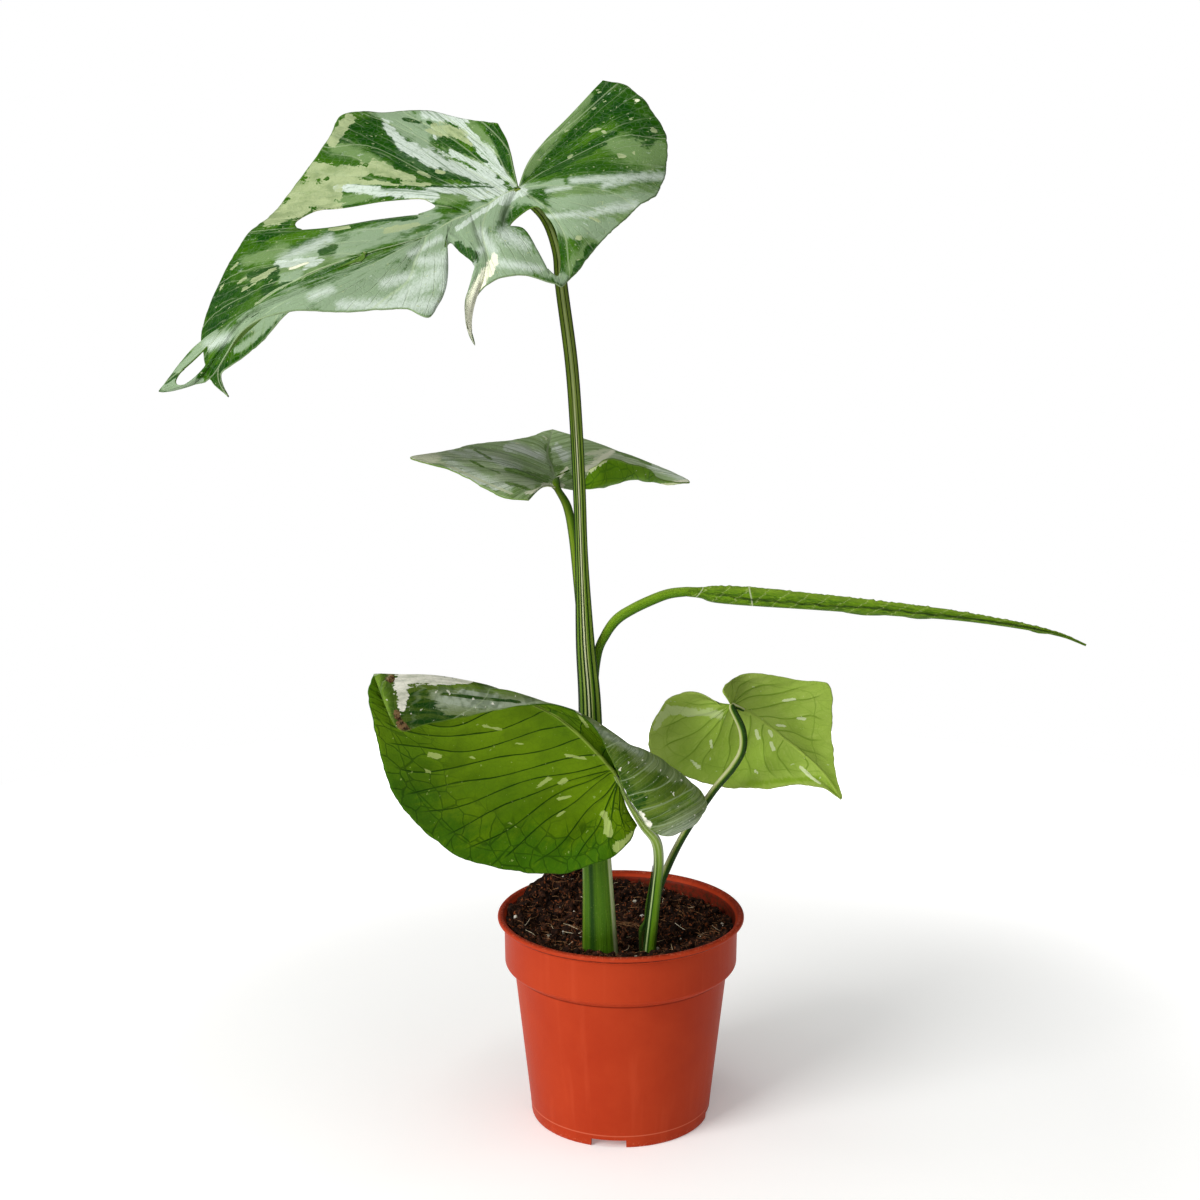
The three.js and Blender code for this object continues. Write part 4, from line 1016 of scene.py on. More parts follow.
def welded(points, quads):
    """Joins points at one place and drops faces that vanish with them."""
    keys = np.round(points, 4) + 0.0
    _, first, target = np.unique(keys, axis=0, return_index=True, return_inverse=True)
    target = target.ravel()
    faces = []
    for quad in quads:
        loop = []
        for corner in (int(target[q]) for q in quad):
            if not loop or loop[-1] != corner:
                loop.append(corner)
        if loop[0] == loop[-1]:
            loop.pop()
        if len(set(loop)) == len(loop) >= 3:
            faces.append(loop)
    return first, faces


def normals_at(points, faces):
    corners = np.array([[f[0], f[1], f[2], f[-1]] for f in faces])
    first, second, third, fourth = (points[corners[:, k]] for k in range(4))
    normals = np.cross(third - first, fourth - second)
    total = np.zeros_like(points)
    for k in range(4):
        np.add.at(total, corners[:, k], normals)
    return total / np.maximum(np.linalg.norm(total, axis=1), 1e-9)[:, None]


def evened(points, faces, fixed):
    """Relaxes the free points towards their neighbours, so that the ribs of the loft don't show."""
    edges = np.array(sorted({tuple(sorted((f[k], f[k - 1]))) for f in faces for k in range(len(f))}))
    degree = np.zeros(len(points))
    np.add.at(degree, edges[:, 0], 1)
    np.add.at(degree, edges[:, 1], 1)
    free = (~fixed)[:, None] * 0.5
    for _ in range(EVENING_ROUNDS):
        total = np.zeros_like(points)
        np.add.at(total, edges[:, 0], points[edges[:, 1]])
        np.add.at(total, edges[:, 1], points[edges[:, 0]])
        points = points + free * (total / np.maximum(degree, 1)[:, None] - points)
    return points


def mark_field(spots, marks, half):
    """How deep each spot lies in any of the marks: 1 on a mark's middle line, 0 on its outline."""
    field = np.full(len(spots), -1.0)
    for side, strokes in marks.items():
        for x0, y0, x1, y1, width0, width1 in strokes:
            start = np.array([x0, y0], float)
            run = np.array([x1, y1], float) - start
            share = np.clip((spots - start) @ run / max(run @ run, 1e-9), 0, 1)
            away = np.linalg.norm(spots - start - share[:, None] * run, axis=1)
            inside = 1 - away / (width0 + (width1 - width0) * share)
            if side != "both":
                inside[half != side] = -1
            field = np.maximum(field, inside)
    return field


def grown_blade(name, leaf, marks, finishes, rows, per_station, upper=(0, 0, 1), turned_grain=None):
    """The blade as one closed sheet, with raised veins below and sunken ones above.

    finishes are those of the upper side and of the underside. From the rib turned_grain on, the
    right half's grain runs across its ribs.
    """
    halves = [half_sheet(leaf, side, rows, per_station) for side in ("left", "right")]
    count = len(halves[0]["points"])
    quads = halves[0]["quads"] + [[q + count for q in quad] for quad in halves[1]["quads"]]
    joined = {key: np.concatenate([half[key] for half in halves]) for key in halves[0] if key != "quads"}
    first, faces = welded(joined["points"], quads)
    kept = {key: values[first] for key, values in joined.items()}
    points, reach, length, vein_gap = (kept[key] for key in ("points", "reach", "length", "vein_gap"))
    on_right = (first >= count).astype(int)
    edge_gap = length - reach
    uses = {(f[k - 1], f[k]) for f in faces for k in range(len(f))}
    rim = [(f[k - 1], f[k]) for f in faces for k in range(len(f)) if (f[k], f[k - 1]) not in uses]
    fixed = reach < 1e-6
    fixed[np.array(rim).ravel()] = True
    points = evened(points, faces, fixed)
    normals = normals_at(points, faces)
    sign = 1 if (normals[on_right == 0] @ np.array(upper, float)).mean() > 0 else -1
    midrib_line = np.exp(-(reach / (1.5 * VEIN_RIDGE)) ** 2) * np.clip(length / 20, 0, 1)
    side_vein = np.exp(-(vein_gap / (0.7 * VEIN_RIDGE)) ** 2) * np.clip(reach / 4, 0, 1)
    side_vein *= np.clip(edge_gap / 12, 0, 1)
    quilt = np.clip(vein_gap / 6, 0, 1) * np.clip(edge_gap / 8, 0, 1) * 0.45
    above = BLADE_HALF - 0.5 * midrib_line - 0.3 * side_vein + quilt
    below = BLADE_HALF + 1.1 * VEIN_RIDGE * midrib_line + 0.5 * VEIN_RIDGE * side_vein - quilt
    sheets = [points + sign * normals * above[:, None], points - sign * normals * below[:, None]]
    total = len(points)
    shell, slots = [], []
    for f in faces:
        top = f if sign > 0 else f[::-1]
        shell += [top, [c + total for c in top[::-1]]]
        slots += [0, 1]
    for edge in rim:
        a, b = edge if sign > 0 else edge[::-1]
        shell.append([b, a, a + total, b + total])
        slots.append(1)
    thing = new_object(name, np.vstack(sheets), shell)
    mesh = thing.data
    for made in finishes:
        mesh.materials.append(made)
    mesh.polygons.foreach_set("material_index", slots)
    mesh.shade_smooth()
    turned = 0 if turned_grain is None else np.clip(kept["rib"] - turned_grain, 0, 1) * on_right
    grain_across = kept["rib"] * 9 * (1 - 0.7 * turned) + 400 * on_right
    grain = np.stack([reach * (1 + 4 * turned), grain_across, 0 * reach], 1)
    spots = seen(points)
    sides = np.array(["left", "right"])[on_right]
    measures = {"reach": reach, "edge_gap": edge_gap, "vein_place": kept["vein_place"],
                "vein_spacing": kept["vein_spacing"], "grain": grain}
    for colour in MARK_COLOURS:
        measures[colour] = mark_field(spots, marks.get(colour, {}), sides)
    for label, values in measures.items():
        kind = "FLOAT_VECTOR" if values.ndim == 2 else "FLOAT"
        write_attribute(mesh, label, np.concatenate([values, values]), kind)
    return thing


class BladeFinish(Finish):
    """A finish that knows the blade's own measures, with a streaked grain that runs along the veins."""

    def __init__(self, name):
        super().__init__(name)
        self.reach, self.edge_gap = self.read("reach"), self.read("edge_gap")
        self.vein_gap = self.read("vein_place").calc("PINGPONG", 0.5) * self.read("vein_spacing")
        run = self.read("grain", "Vector")
        self.grain = self.stretched(run, (0.022, 0.11, 1))
        bend = self.mottle(self.stretched(run, (0.06, 0.3, 1)), 1.0, 2)
        ruled = self.part(run, "Y") * 0.34 + bend * 0.8
        self.threads = ruled.calc("PINGPONG", 0.5).rise(0.09, 0.02) * bend.rise(0.35, 0.6)
        self.pleats = self.mottle(self.stretched(run, (0.012, 0.8, 1)), 1.0, 3, 0.7)
        shaken = {0: self.mottle(self.place, 90, 3), "Scale": 0.5}
        shaken = self.add("ShaderNodeVectorMath", shaken, operation="SCALE")
        drawn = {0: self.stretched(run, (0.13, 0.22, 1)), 1: shaken}
        drawn = self.add("ShaderNodeVectorMath", drawn, operation="ADD")
        self.branches = self.cells(drawn, 1.0).rise(0.055, 0.012)
        self.net = self.cells(self.place, 330.0).rise(0.09, 0.02)

    def mark(self, colour, size, low, high, strength=1.0):
        """Where the marks of a colour lie, with outlines torn by the grain and by fine specks."""
        torn = self.mottle(self.grain, size, 5, 0.75).either(0.34)
        specks = self.mottle(self.place, 200, 4, 0.7)
        edge = (torn - 0.5) * 3.0 + self.read(colour)
        return ((specks - 0.5) * 1.4 + edge).rise(low, high, 0, strength)


def upper_side(name, deep, middle, light, sage, grey, silver_and_sheen, cream, silver_scatter=0.62, cream_scatter=0.69,
               pleat_shade=0.0):
    """The variegated upper side of a shiny blade, with its sheen painted on as pale highlights and with
    silver that is partly painted sheen.
    """
    paint = BladeFinish(name)
    grain, place, pleats = paint.grain, paint.place, paint.pleats
    clouds = paint.mottle(grain, 1.4, 3, 0.6)
    wisps = paint.mottle(grain, 3.4, 4, 0.7)
    fine = paint.mottle(grain, 14.0, 4, 0.7)
    # Painted highlights: pale sheen over the highlight marks, broken up by fine streaks and the pleats.
    sheen = (fine * 2.0 + paint.read("painted_highlight")).rise(0.85, 2.1, 0, 0.8) * pleats.rise(0.3, 0.5, 0.75, 1)
    streaks = paint.mottle(grain, 6.0, 4, 0.7).rise(silver_scatter, silver_scatter + 0.06, 0, 0.5)
    pale = paint.mark("silver_and_sheen", 3.4, -0.05, 0.35).either(streaks) * fine.rise(0.3, 0.5, 0.5, 0.95)
    flecks = paint.mottle(grain, 9.0, 3, 0.65).rise(cream_scatter, cream_scatter + 0.02)
    spray = paint.mottle(place, 420, 2, 0.5).rise(0.69, 0.71, 0, 0.8)
    stain = paint.mottle(grain, 4.0, 4, 0.7).rise(0.35, 0.62, 0.6, 1)
    crisp = paint.mottle(place, 500, 4, 0.7).rise(0.4, 0.6)
    veins = paint.vein_gap.rise(0.5, 0.15, 0, 0.4).either(paint.reach.rise(1.1, 0.5, 0, 0.7))
    paint.colour = paint.mixed(clouds.rise(0.38, 0.6), middle, light)
    paint.coat(paint.mottle(place, 22, 3, 0.5).rise(0.4, 0.62, 0, 0.6), middle)
    paint.coat(paint.mark("sage", 1.6, -0.3, 0.7, 0.92), sage)
    # Grey-green zones, partly the leaf's own tone and partly painted sheen.
    paint.coat(paint.mark("grey", 1.8, -0.2, 0.5, 0.92), grey)
    paint.coat(wisps.rise(0.56, 0.7, 0, 0.4), sage)
    paint.coat(sheen, silver_and_sheen)
    # Silver, partly the leaf's own variegation and partly painted sheen.
    paint.coat(pale * pleats.rise(0.36, 0.5, 0.35, 1), silver_and_sheen)
    paint.coat(paint.mark("dark", 2.4, -0.08, 0.3, 0.95), paint.mixed(wisps.rise(0.4, 0.6), deep, middle))
    # Painted shade: dark lines in the pleats.
    paint.coat(pleats.rise(0.52, 0.44, 0, pleat_shade), deep)
    paint.coat(paint.mark("cream", 3.6, 0.0, 0.07).either(flecks).either(spray) * stain, cream)
    paint.coat(paint.mark("ivory", 3.6, 0.0, 0.12, 0.9), "f0f0d6")
    paint.coat(paint.mark("dead", 3.0, 0.0, 0.2), paint.mixed(crisp, "2c1c0e", "7d6040"))
    paint.coat(veins.either(paint.threads * 0.2), "a9ba90")
    paint.coat(paint.net * 0.1, grey)
    paint.coat(paint.edge_gap.rise(0.7, 0.3, 0, 0.5), sage)
    height = paint.threads * -0.8 + (paint.net * -0.3 + paint.mottle(place, 320, 3))
    return paint.done(clouds.rise(0.3, 0.7, 0.26, 0.38), 0.03, height, 0.00022)


def under_side(name, bright, deep, pale, vein, midrib, margin, net_share=0.7):
    """The duller underside of a blade, with its net of veins and the raised midrib."""
    paint = BladeFinish(name)
    grain, place, edge_gap = paint.grain, paint.place, paint.edge_gap
    clouds = paint.mottle(place, 14, 3, 0.5)
    loops = abs(clouds * -14 + edge_gap - 1.5).rise(0.5, 0.2) * 0.5
    uneven = paint.mottle(place, 130, 3) * 0.5 + paint.vein_gap
    lines = uneven.rise(0.72, 0.42, 0, 0.95).either(loops) * edge_gap.rise(3, 10)
    branches = paint.branches * edge_gap.rise(38, 20) * net_share
    faint = paint.mottle(place, 45, 2).rise(0.3, 0.55, 0.8, 1)
    lines = (lines.either(branches) * faint).either(paint.net * 0.1)
    flecks = paint.mottle(grain, 8.5, 4, 0.7).rise(0.71, 0.73, 0, 0.8)
    spray = paint.mottle(place, 420, 2, 0.5).rise(0.71, 0.73, 0, 0.5)
    whitish = paint.mark("cream", 3.4, 0.0, 0.12, 0.9).either(paint.mark("silver_and_sheen", 3.0, 0.0, 0.3, 0.5))
    paint.colour = paint.mixed(clouds.rise(0.35, 0.65, 0, 0.7), bright, deep)
    paint.coat(paint.mark("dark", 2.0, -0.3, 0.9, 0.9), deep)
    paint.coat(paint.mottle(grain, 6.0, 4, 0.7).rise(0.5, 0.7, 0, 0.35), bright)
    paint.coat(paint.mottle(place, 60, 4, 0.6).rise(0.45, 0.65, 0, 0.25), vein)
    paint.coat(lines, vein)
    paint.coat(whitish.either(flecks).either(spray), pale)
    paint.coat(paint.reach.rise(0.95, 0.5, 0, 0.85), midrib)
    paint.coat(edge_gap.rise(0.6, 0.3, 0, 0.85), margin)
    height = lines * 0.8 + paint.mottle(place, 300, 3)
    return paint.done(clouds.rise(0.3, 0.7, 0.42, 0.55), 0.03, height, 0.00025)


leaf_1 = grown_blade("leaf_1_sheet", LEAF_1, LEAF_1_MARKS, [
    upper_side("leaf_1_upper", "083a00", "204c02", "3e6808", "6c8852", "8aa080", "c6d2c6", "a0ad7f"),
    under_side("leaf_1_under", "6a8a38", "3d6120", "c5cda0", "4c6c2c", "b9c288", "8ea27c"),
], rows=72, per_station=10)
settle(leaf_1, "leaf_top_side", "leaf_1_blade")


# Leaf 2's petiole
# A round, light green stalk that leaves the sheath behind the stout petiole and carries leaf 2.
LEAF_2_PETIOLE = [
    (-12, -34.3, PETIOLE_FOOT, 1.8, 1.8), (-13.4, -34.3, 139, 1.8, 1.8), (-16, -33.8, 183, 1.8, 1.8),
    (-17.2, -33.2, 221, 1.8, 1.8), (-18.4, -32.6, 249, 1.9, 1.9), (-20.4, -31.6, 275, 2, 2),
    (-22.5, -30, 296, 2, 2), (-25, -27.5, 309, 2, 2), (-29.2, -24.6, 316.4, 1.6, 1.6),
    (-30.4, -22, 318.4, 2.2, 1.5), (-31.2, -16, 319.4, 3, 0.8),
]
# Painted shading across the round stalk: lightest left of its middle and darker towards both edges.
LIGHT_GREEN_SHADING = [
    (-1.0, "1c3606"), (-0.86, "44640c"), (-0.5, "84a02c"), (-0.1, "7c9c22"), (0.3, "588010"), (1.0, "2c4a0c"),
]
leaf_2_stalk = swept_stalk(
    "leaf_2_stalk", LEAF_2_PETIOLE, stalk_finish("light_petiole", LIGHT_GREEN_SHADING), sides=28, pitch=1.2)
settle(leaf_2_stalk, "petiole", "leaf_2_petiole")


# Leaf 2's blade
# The heart-shaped leaf behind the stout petiole. It points away from the viewer, and its right
# margin rolls under and shows the bright underside.
LEAF_2 = {
    "midrib": [
        (-30, -24, 318), (-31.5, -10, 320), (-33, 6, 322), (-36, 40, 324), (-34, 78, 330),
    ],
    "left": [
        (0, (-34, -32, 320), (-37, -42, 320), (-42, -56, 317)),
        (0, (-39, -37, 321), (-47, -47, 321), (-55, -54, 319)),
        (0, (-43, -31, 322), (-54, -37, 324), (-66, -42, 323)),
        (0, (-46, -24, 323), (-62, -25, 326), (-79, -30, 327)),
        (0, (-55, -14, 327), (-76, -15, 329), (-97, -16, 330)),
        (1, (-50, -2, 326), (-67, 4, 328), (-84, 2, 330)),
        (2, (-46, 16, 326), (-58, 26, 328), (-70, 27, 330)),
        (3, (-42, 46, 327), (-51, 50, 329)),
    ],
    "right": [
        (0, (-24, -19, 316), (-18, -20, 319), (-15, -22, 326)),
        (0, (-22, -19, 316), (-12, -22, 317), (-6, -26, 322), (-7, -26, 331)),
        (0, (-19, -14, 317), (-7, -14, 317), (3, -20, 321), (3, -24, 329)),
        (0, (-18, -8, 320), (-3, -3, 321), (11, -8, 318), (13, -13, 324)),
        (1, (-16, 4, 323), (2, 8, 321), (16, 4, 315), (18, -3, 318)),
        (1, (-14, 10, 324), (4, 16, 322), (20, 14, 314), (32, 12, 314)),
        (2, (-14, 22, 325), (4, 32, 322), (23, 28, 317)),
        (3, (-16, 50, 327), (0, 54, 322)),
    ],
    "veins": {
        "left": [0, 1.5, 3, 4.2, 5.5, 6.6],
        "right": [0, 1.5, 3, 4.4, 5.4, 6.4],
    },
}
LEAF_2_MARKS = {
    "ivory": {
        "left": [(406, 455, 434, 459, 7, 5), (528, 494, 552, 486, 2.5, 2.5)],
        "both": [(543, 486, 562, 486, 2.5, 2.5), (556, 482, 567, 469, 2, 2)],
        "right": [(586, 470, 612, 453, 3, 2), (664, 486, 688, 481, 3, 2)],
    },
    "cream": {
        "left": [(408, 455, 436, 459, 9, 6), (440, 463, 512, 495, 1, 1.2), (516, 444, 518, 445, 1, 1)],
        "both": [(556, 482, 566, 469, 1.6, 1.4), (543, 486, 560, 486, 1.6, 1.6), (542, 436, 546, 440, 1, 1)],
        "right": [(586, 470, 612, 453, 5, 3), (588, 456, 606, 450, 3, 2), (662, 485, 684, 481, 1.6, 1)],
    },
    # Silver, partly the leaf's own variegation and partly painted sheen.
    "silver_and_sheen": {
        "left": [
            (480, 456, 516, 469, 3, 3.5), (448, 466, 474, 480, 3, 4), (474, 480, 500, 490, 3.4, 2.4),
            (506, 449, 536, 456, 3, 4),
        ],
        "both": [(557, 447, 565, 458, 3.5, 5)],
    },
    # Painted highlights where the leaf's sheen catches the light.
    "painted_highlight": {
        "left": [
            (466, 452, 518, 469, 4, 6), (512, 446, 542, 458, 6, 7), (476, 476, 508, 489, 5, 6),
            (440, 458, 476, 474, 4, 4), (450, 452, 470, 458, 3, 3),
        ],
        "both": [(553, 450, 568, 455, 4, 6)],
        "right": [(650, 467, 684, 480, 5, 5)],
    },
    # Dark green, partly the leaf's own colour and partly painted shade beside the midrib and in the fold near
    # the sinus.
    "dark": {
        "both": [(547, 449, 554, 474, 3.6, 2.4), (558, 470, 568, 476, 4, 4)],
        "right": [(616, 453, 650, 465, 2, 2)],
        "left": [
            (505, 470, 545, 480, 2, 5), (474, 451, 492, 461, 1.5, 1.2), (470, 462, 500, 475, 1, 1.2),
            (452, 474, 478, 486, 1.2, 1), (506, 484, 536, 492, 1.6, 1.6),
        ],
    },
    "grey": {
        "left": [(440, 456, 500, 462, 8, 12), (500, 480, 530, 486, 8, 6)],
        "right": [(600, 455, 640, 462, 6, 6)],
    },
    "sage": {
        "left": [(430, 460, 560, 462, 50, 50)],
        "right": [(560, 450, 690, 470, 50, 50)],
    },
}
leaf_2 = grown_blade("leaf_2_sheet", LEAF_2, LEAF_2_MARKS, [
    upper_side("leaf_2_upper", "4a6c20", "76964c", "8aa65c", "a8c08c", "bac8a6", "e6eee4", "d4dab8",
               pleat_shade=0.5),
    under_side("leaf_2_under", "6f9814", "477010", "d0d8a4", "3c6410", "b9ca78", "6f8c3c"),
], rows=50, per_station=14)
settle(leaf_2, "leaf_top_side", "leaf_2_blade")


# The newest leaf's petiole
# It rises in the stout petiole's sheath, leaves it on the right and arches over to the rolled leaf.
ROLLED_LEAF_PETIOLE = [
    (-7.8, -34.3, PETIOLE_FOOT, 1.8, 1.8), (-9.3, -34.3, 139, 1.8, 1.8), (-12, -33.8, 183, 1.8, 1.8),
    (-12.9, -33.2, 221, 1.8, 1.8), (-11.4, -33, 241, 2, 1.9), (-7.6, -34, 251, 2.2, 2),
    (-2.6, -36, 258.5, 2.4, 2.2), (4.2, -37.4, 263.5, 2.4, 2.3), (13, -38, 268, 2.4, 2.3),
    (21, -38, 271, 2.3, 2.3), (28.6, -38, 272, 2.2, 2.2), (31, -38, 272, 2.1, 2.1),
]
# Painted shading across the stalk, from light on its left side to dark on its right side.
YOUNG_SHADING = [(-1.0, "88a444"), (-0.6, "769c1c"), (0.1, "5f8a10"), (0.7, "447008"), (1.0, "305806")]
rolled_stalk = swept_stalk(
    "rolled_stalk", ROLLED_LEAF_PETIOLE, stalk_finish("young_petiole", YOUNG_SHADING), sides=28, pitch=1.2)
settle(rolled_stalk, "petiole", "rolled_leaf_petiole")


# The rolled leaf
# The newest blade, still wound round itself like a spindle. Its outer margin runs along the front as a step,
# with painted shade in the crease beside it, and the top of the roll is crinkled. The roll is painted lighter
# on top and darker underneath.
ROLLED_LEAF = [
    (29.4, -38, 272, 2.2, 2.2), (36, -38, 271.6, 2.6, 2.6), (42, -38, 271, 3.9, 3.6), (59, -38, 270, 4.3, 4),
    (94, -38, 267, 3.6, 3.6), (125, -38, 264, 3.1, 3.2), (153, -38, 261, 2.2, 2.4),
    (181, -38, 256.5, 1.5, 1.7), (200, -38, 252, 0.9, 1.1), (212, -38, 247, 0.5, 0.5),
]
MARGIN_STEP = 0.9
MARGIN_FLAPS = [(72, 90, 0.9), (100, 112, 0.7), (158, 166, 0.6)]
CRINKLE = 1.1
CREASE_WIDTH = 0.55
RING_MARK = 5.5
NOTCH_MARK = 29


def rolled_finish():
    paint = Finish("rolled_leaf_surface")
    side, back, along = (paint.read(label) for label in ("side", "back", "along"))
    flow = paint.add("ShaderNodeCombineXYZ", {0: side, 1: back, 2: along * 0.05})
    stripes = paint.mottle(flow, 3.0, 4, 0.65, 0.6)
    fine = paint.mottle(flow, 11.0, 3, 0.6)
    slanting = along * 0.11 + side * 0.5 + stripes * 0.8
    ring = abs(side * 1.6 + along - RING_MARK).rise(0.4, 0.15)
    notch = abs(side * -1.2 + along - NOTCH_MARK).rise(0.5, 0.2)
    paint.colour = paint.mixed(stripes.rise(0.4, 0.6), "466c08", "6c9410")
    paint.coat(fine.rise(0.56, 0.68, 0, 0.5), "9ab63c")
    # Painted light and shade: the roll lighter on top and darker underneath.
    paint.coat(side.rise(-0.4, -0.9, 0, 0.5), "8cab30")
    paint.coat(side.rise(0.4, 1.0, 0, 0.5), "35580a")
    paint.coat(slanting.calc("PINGPONG", 0.5).rise(0.045, 0.01) * 0.6, "b4c478")
    paint.coat(ring.either(notch) * 0.55, "dfe4c2")
    # Painted shade in the crease along the outer margin.
    paint.coat(paint.read("crease_shade"), "1f3406")
    return paint.done(fine.rise(0.3, 0.7, 0.36, 0.5), 0.12, stripes + fine, 0.0006)


def wind_up(thing):
    """The blade's outer margin stands a step above the next turn, and the top of the roll is crinkled."""
    mesh = thing.data
    side, back, along = (np.zeros(len(mesh.vertices), np.float32) for _ in range(3))
    for label, values in (("side", side), ("back", back), ("along", along)):
        mesh.attributes[label].data.foreach_get("value", values)
    spots = np.array([vertex.co[:] for vertex in mesh.vertices], np.float32) / MM
    centres = smooth_line(np.array(ROLLED_LEAF)[:, :3], np.linspace(0, 1, 400))
    travel = travelled(centres)
    middle = np.stack([np.interp(along, travel, centres[:, k]) for k in range(3)], 1)
    arm = spots - middle
    radius = np.linalg.norm(arm, axis=1)
    wander = np.array([
        noise.noise(Vector((a * 0.03, 0.3, 2))) + 0.35 * noise.noise(Vector((a * 0.2, 5, 2))) for a in along])
    turned = np.mod(np.arctan2(back, side) + math.pi / 2 - 0.5 * wander, 2 * math.pi)
    fade = np.clip(along / 25, 0, 1) * np.clip((travel[-1] - along) / 25, 0.1, 1)
    lift = MARGIN_STEP * (0.5 - turned / (2 * math.pi)) * fade
    crinkle = np.array([noise.noise(Vector((a * 0.55, s * 2, 7))) for a, s in zip(along, side)])
    lift += CRINKLE * crinkle * np.clip(-side - 0.3, 0, 1) * fade
    for start, end, height in MARGIN_FLAPS:
        swell = np.clip(1 - np.abs(along - (start + end) / 2) / (0.5 * (end - start)), 0, 1)
        lift += height * np.sqrt(swell) * np.clip(side - 0.85, 0, 1) / 0.15
    spots = middle + arm * ((radius + lift) / np.maximum(radius, 1e-6))[:, None]
    mesh.vertices.foreach_set("co", (spots * MM).astype(np.float32).ravel())
    # The crease's painted shade lies along the margin's step.
    off = np.minimum(turned, 2 * math.pi - turned) * radius
    write_attribute(mesh, "crease_shade", np.clip(1 - off / CREASE_WIDTH, 0, 1) * fade)
    mesh.update()


rolled_leaf = swept_stalk("rolled_leaf_spindle", ROLLED_LEAF, rolled_finish(), sides=64, pitch=0.8)
wind_up(rolled_leaf)
settle(rolled_leaf, "rolled_leaf", "rolled_leaf_blade")


# Leaf 3's petiole
# A slender stalk at the front right, with the cream margins of its own small sheath and the dry
# remnants of an older one at its foot.
LEAF_3_PETIOLE = [
    (13, -38, PETIOLE_FOOT, 3.2, 3), (13, -38, 97, 3.1, 2.9), (16, -39, 129, 2.6, 2.4),
    (17.2, -40, 144, 2.4, 2.3), (15.8, -41.2, 154, 2.4, 2.3), (10.6, -42.4, 161, 2, 1.9),
    (7, -44.5, 167, 1.6, 1.6), (3.4, -46.6, 173.5, 1.2, 1.3), (0.4, -48.4, 180, 1.1, 1.2),
    (-1.4, -49.6, 184.6, 1.1, 1.1), (-3.2, -51.4, 189, 0.9, 0.9),
]
OLD_SHEATH = [
    (10.1, -36.4, 90, 1.2, 0.5), (9.9, -36.4, 97, 1.5, 0.5), (9.4, -36.6, 103, 1.2, 0.45),
    (9.9, -36.8, 109, 1.6, 0.4), (11.2, -37, 113, 0.7, 0.4), (12.1, -37.4, 121, 0.9, 0.35),
    (13.2, -38, 130, 0.5, 0.3), (14.5, -38.6, 141, 0.15, 0.15),
]
SLENDER_STRIPES = [
    (-1.0, "6c8c30"), (-0.86, "c4d49c"), (-0.62, "b4c884"), (-0.4, "7c9c38"), (-0.1, "93ae4c"),
    (0.1, "b8cc86"), (0.3, "88a640"), (0.6, "a4bc66"), (0.82, "d4e0b8"), (1.0, "6c8c34"),
]
# At the foot, the dark green along the left edge is painted shade.
SLENDER_FOOT_STRIPES = [
    (-1.0, "16300a"), (-0.74, "1a360a"), (-0.66, "b4cc84"), (-0.52, "bcd090"), (-0.46, "20400a"),
    (-0.3, "2a540c"), (-0.12, "628e12"), (0.4, "6c9618"), (0.8, "527a10"), (1.0, "2c540a"),
]
SHEATH_STRIPES = [(-1.0, "5f7c20"), (-0.5, "3c5c12"), (0.1, "16300a"), (1.0, "102406")]
SHEATH_FOOT_STRIPES = [(-1.0, "20140a"), (-0.2, "150e07"), (0.5, "5c3a1c"), (1.0, "18240a")]
leaf_3_stalk = swept_stalk("leaf_3_stalk", LEAF_3_PETIOLE, stalk_finish(
    "slender_petiole", SLENDER_STRIPES, SLENDER_FOOT_STRIPES, (50, 78)), sides=36, pitch=0.8)
settle(leaf_3_stalk, "petiole", "leaf_3_petiole")
old_sheath = swept_stalk("old_sheath", OLD_SHEATH, stalk_finish(
    "withered_sheath", SHEATH_STRIPES, SHEATH_FOOT_STRIPES, (8, 22)), sides=16, pitch=0.8)
settle(old_sheath, "petiole", "leaf_3_petiole")


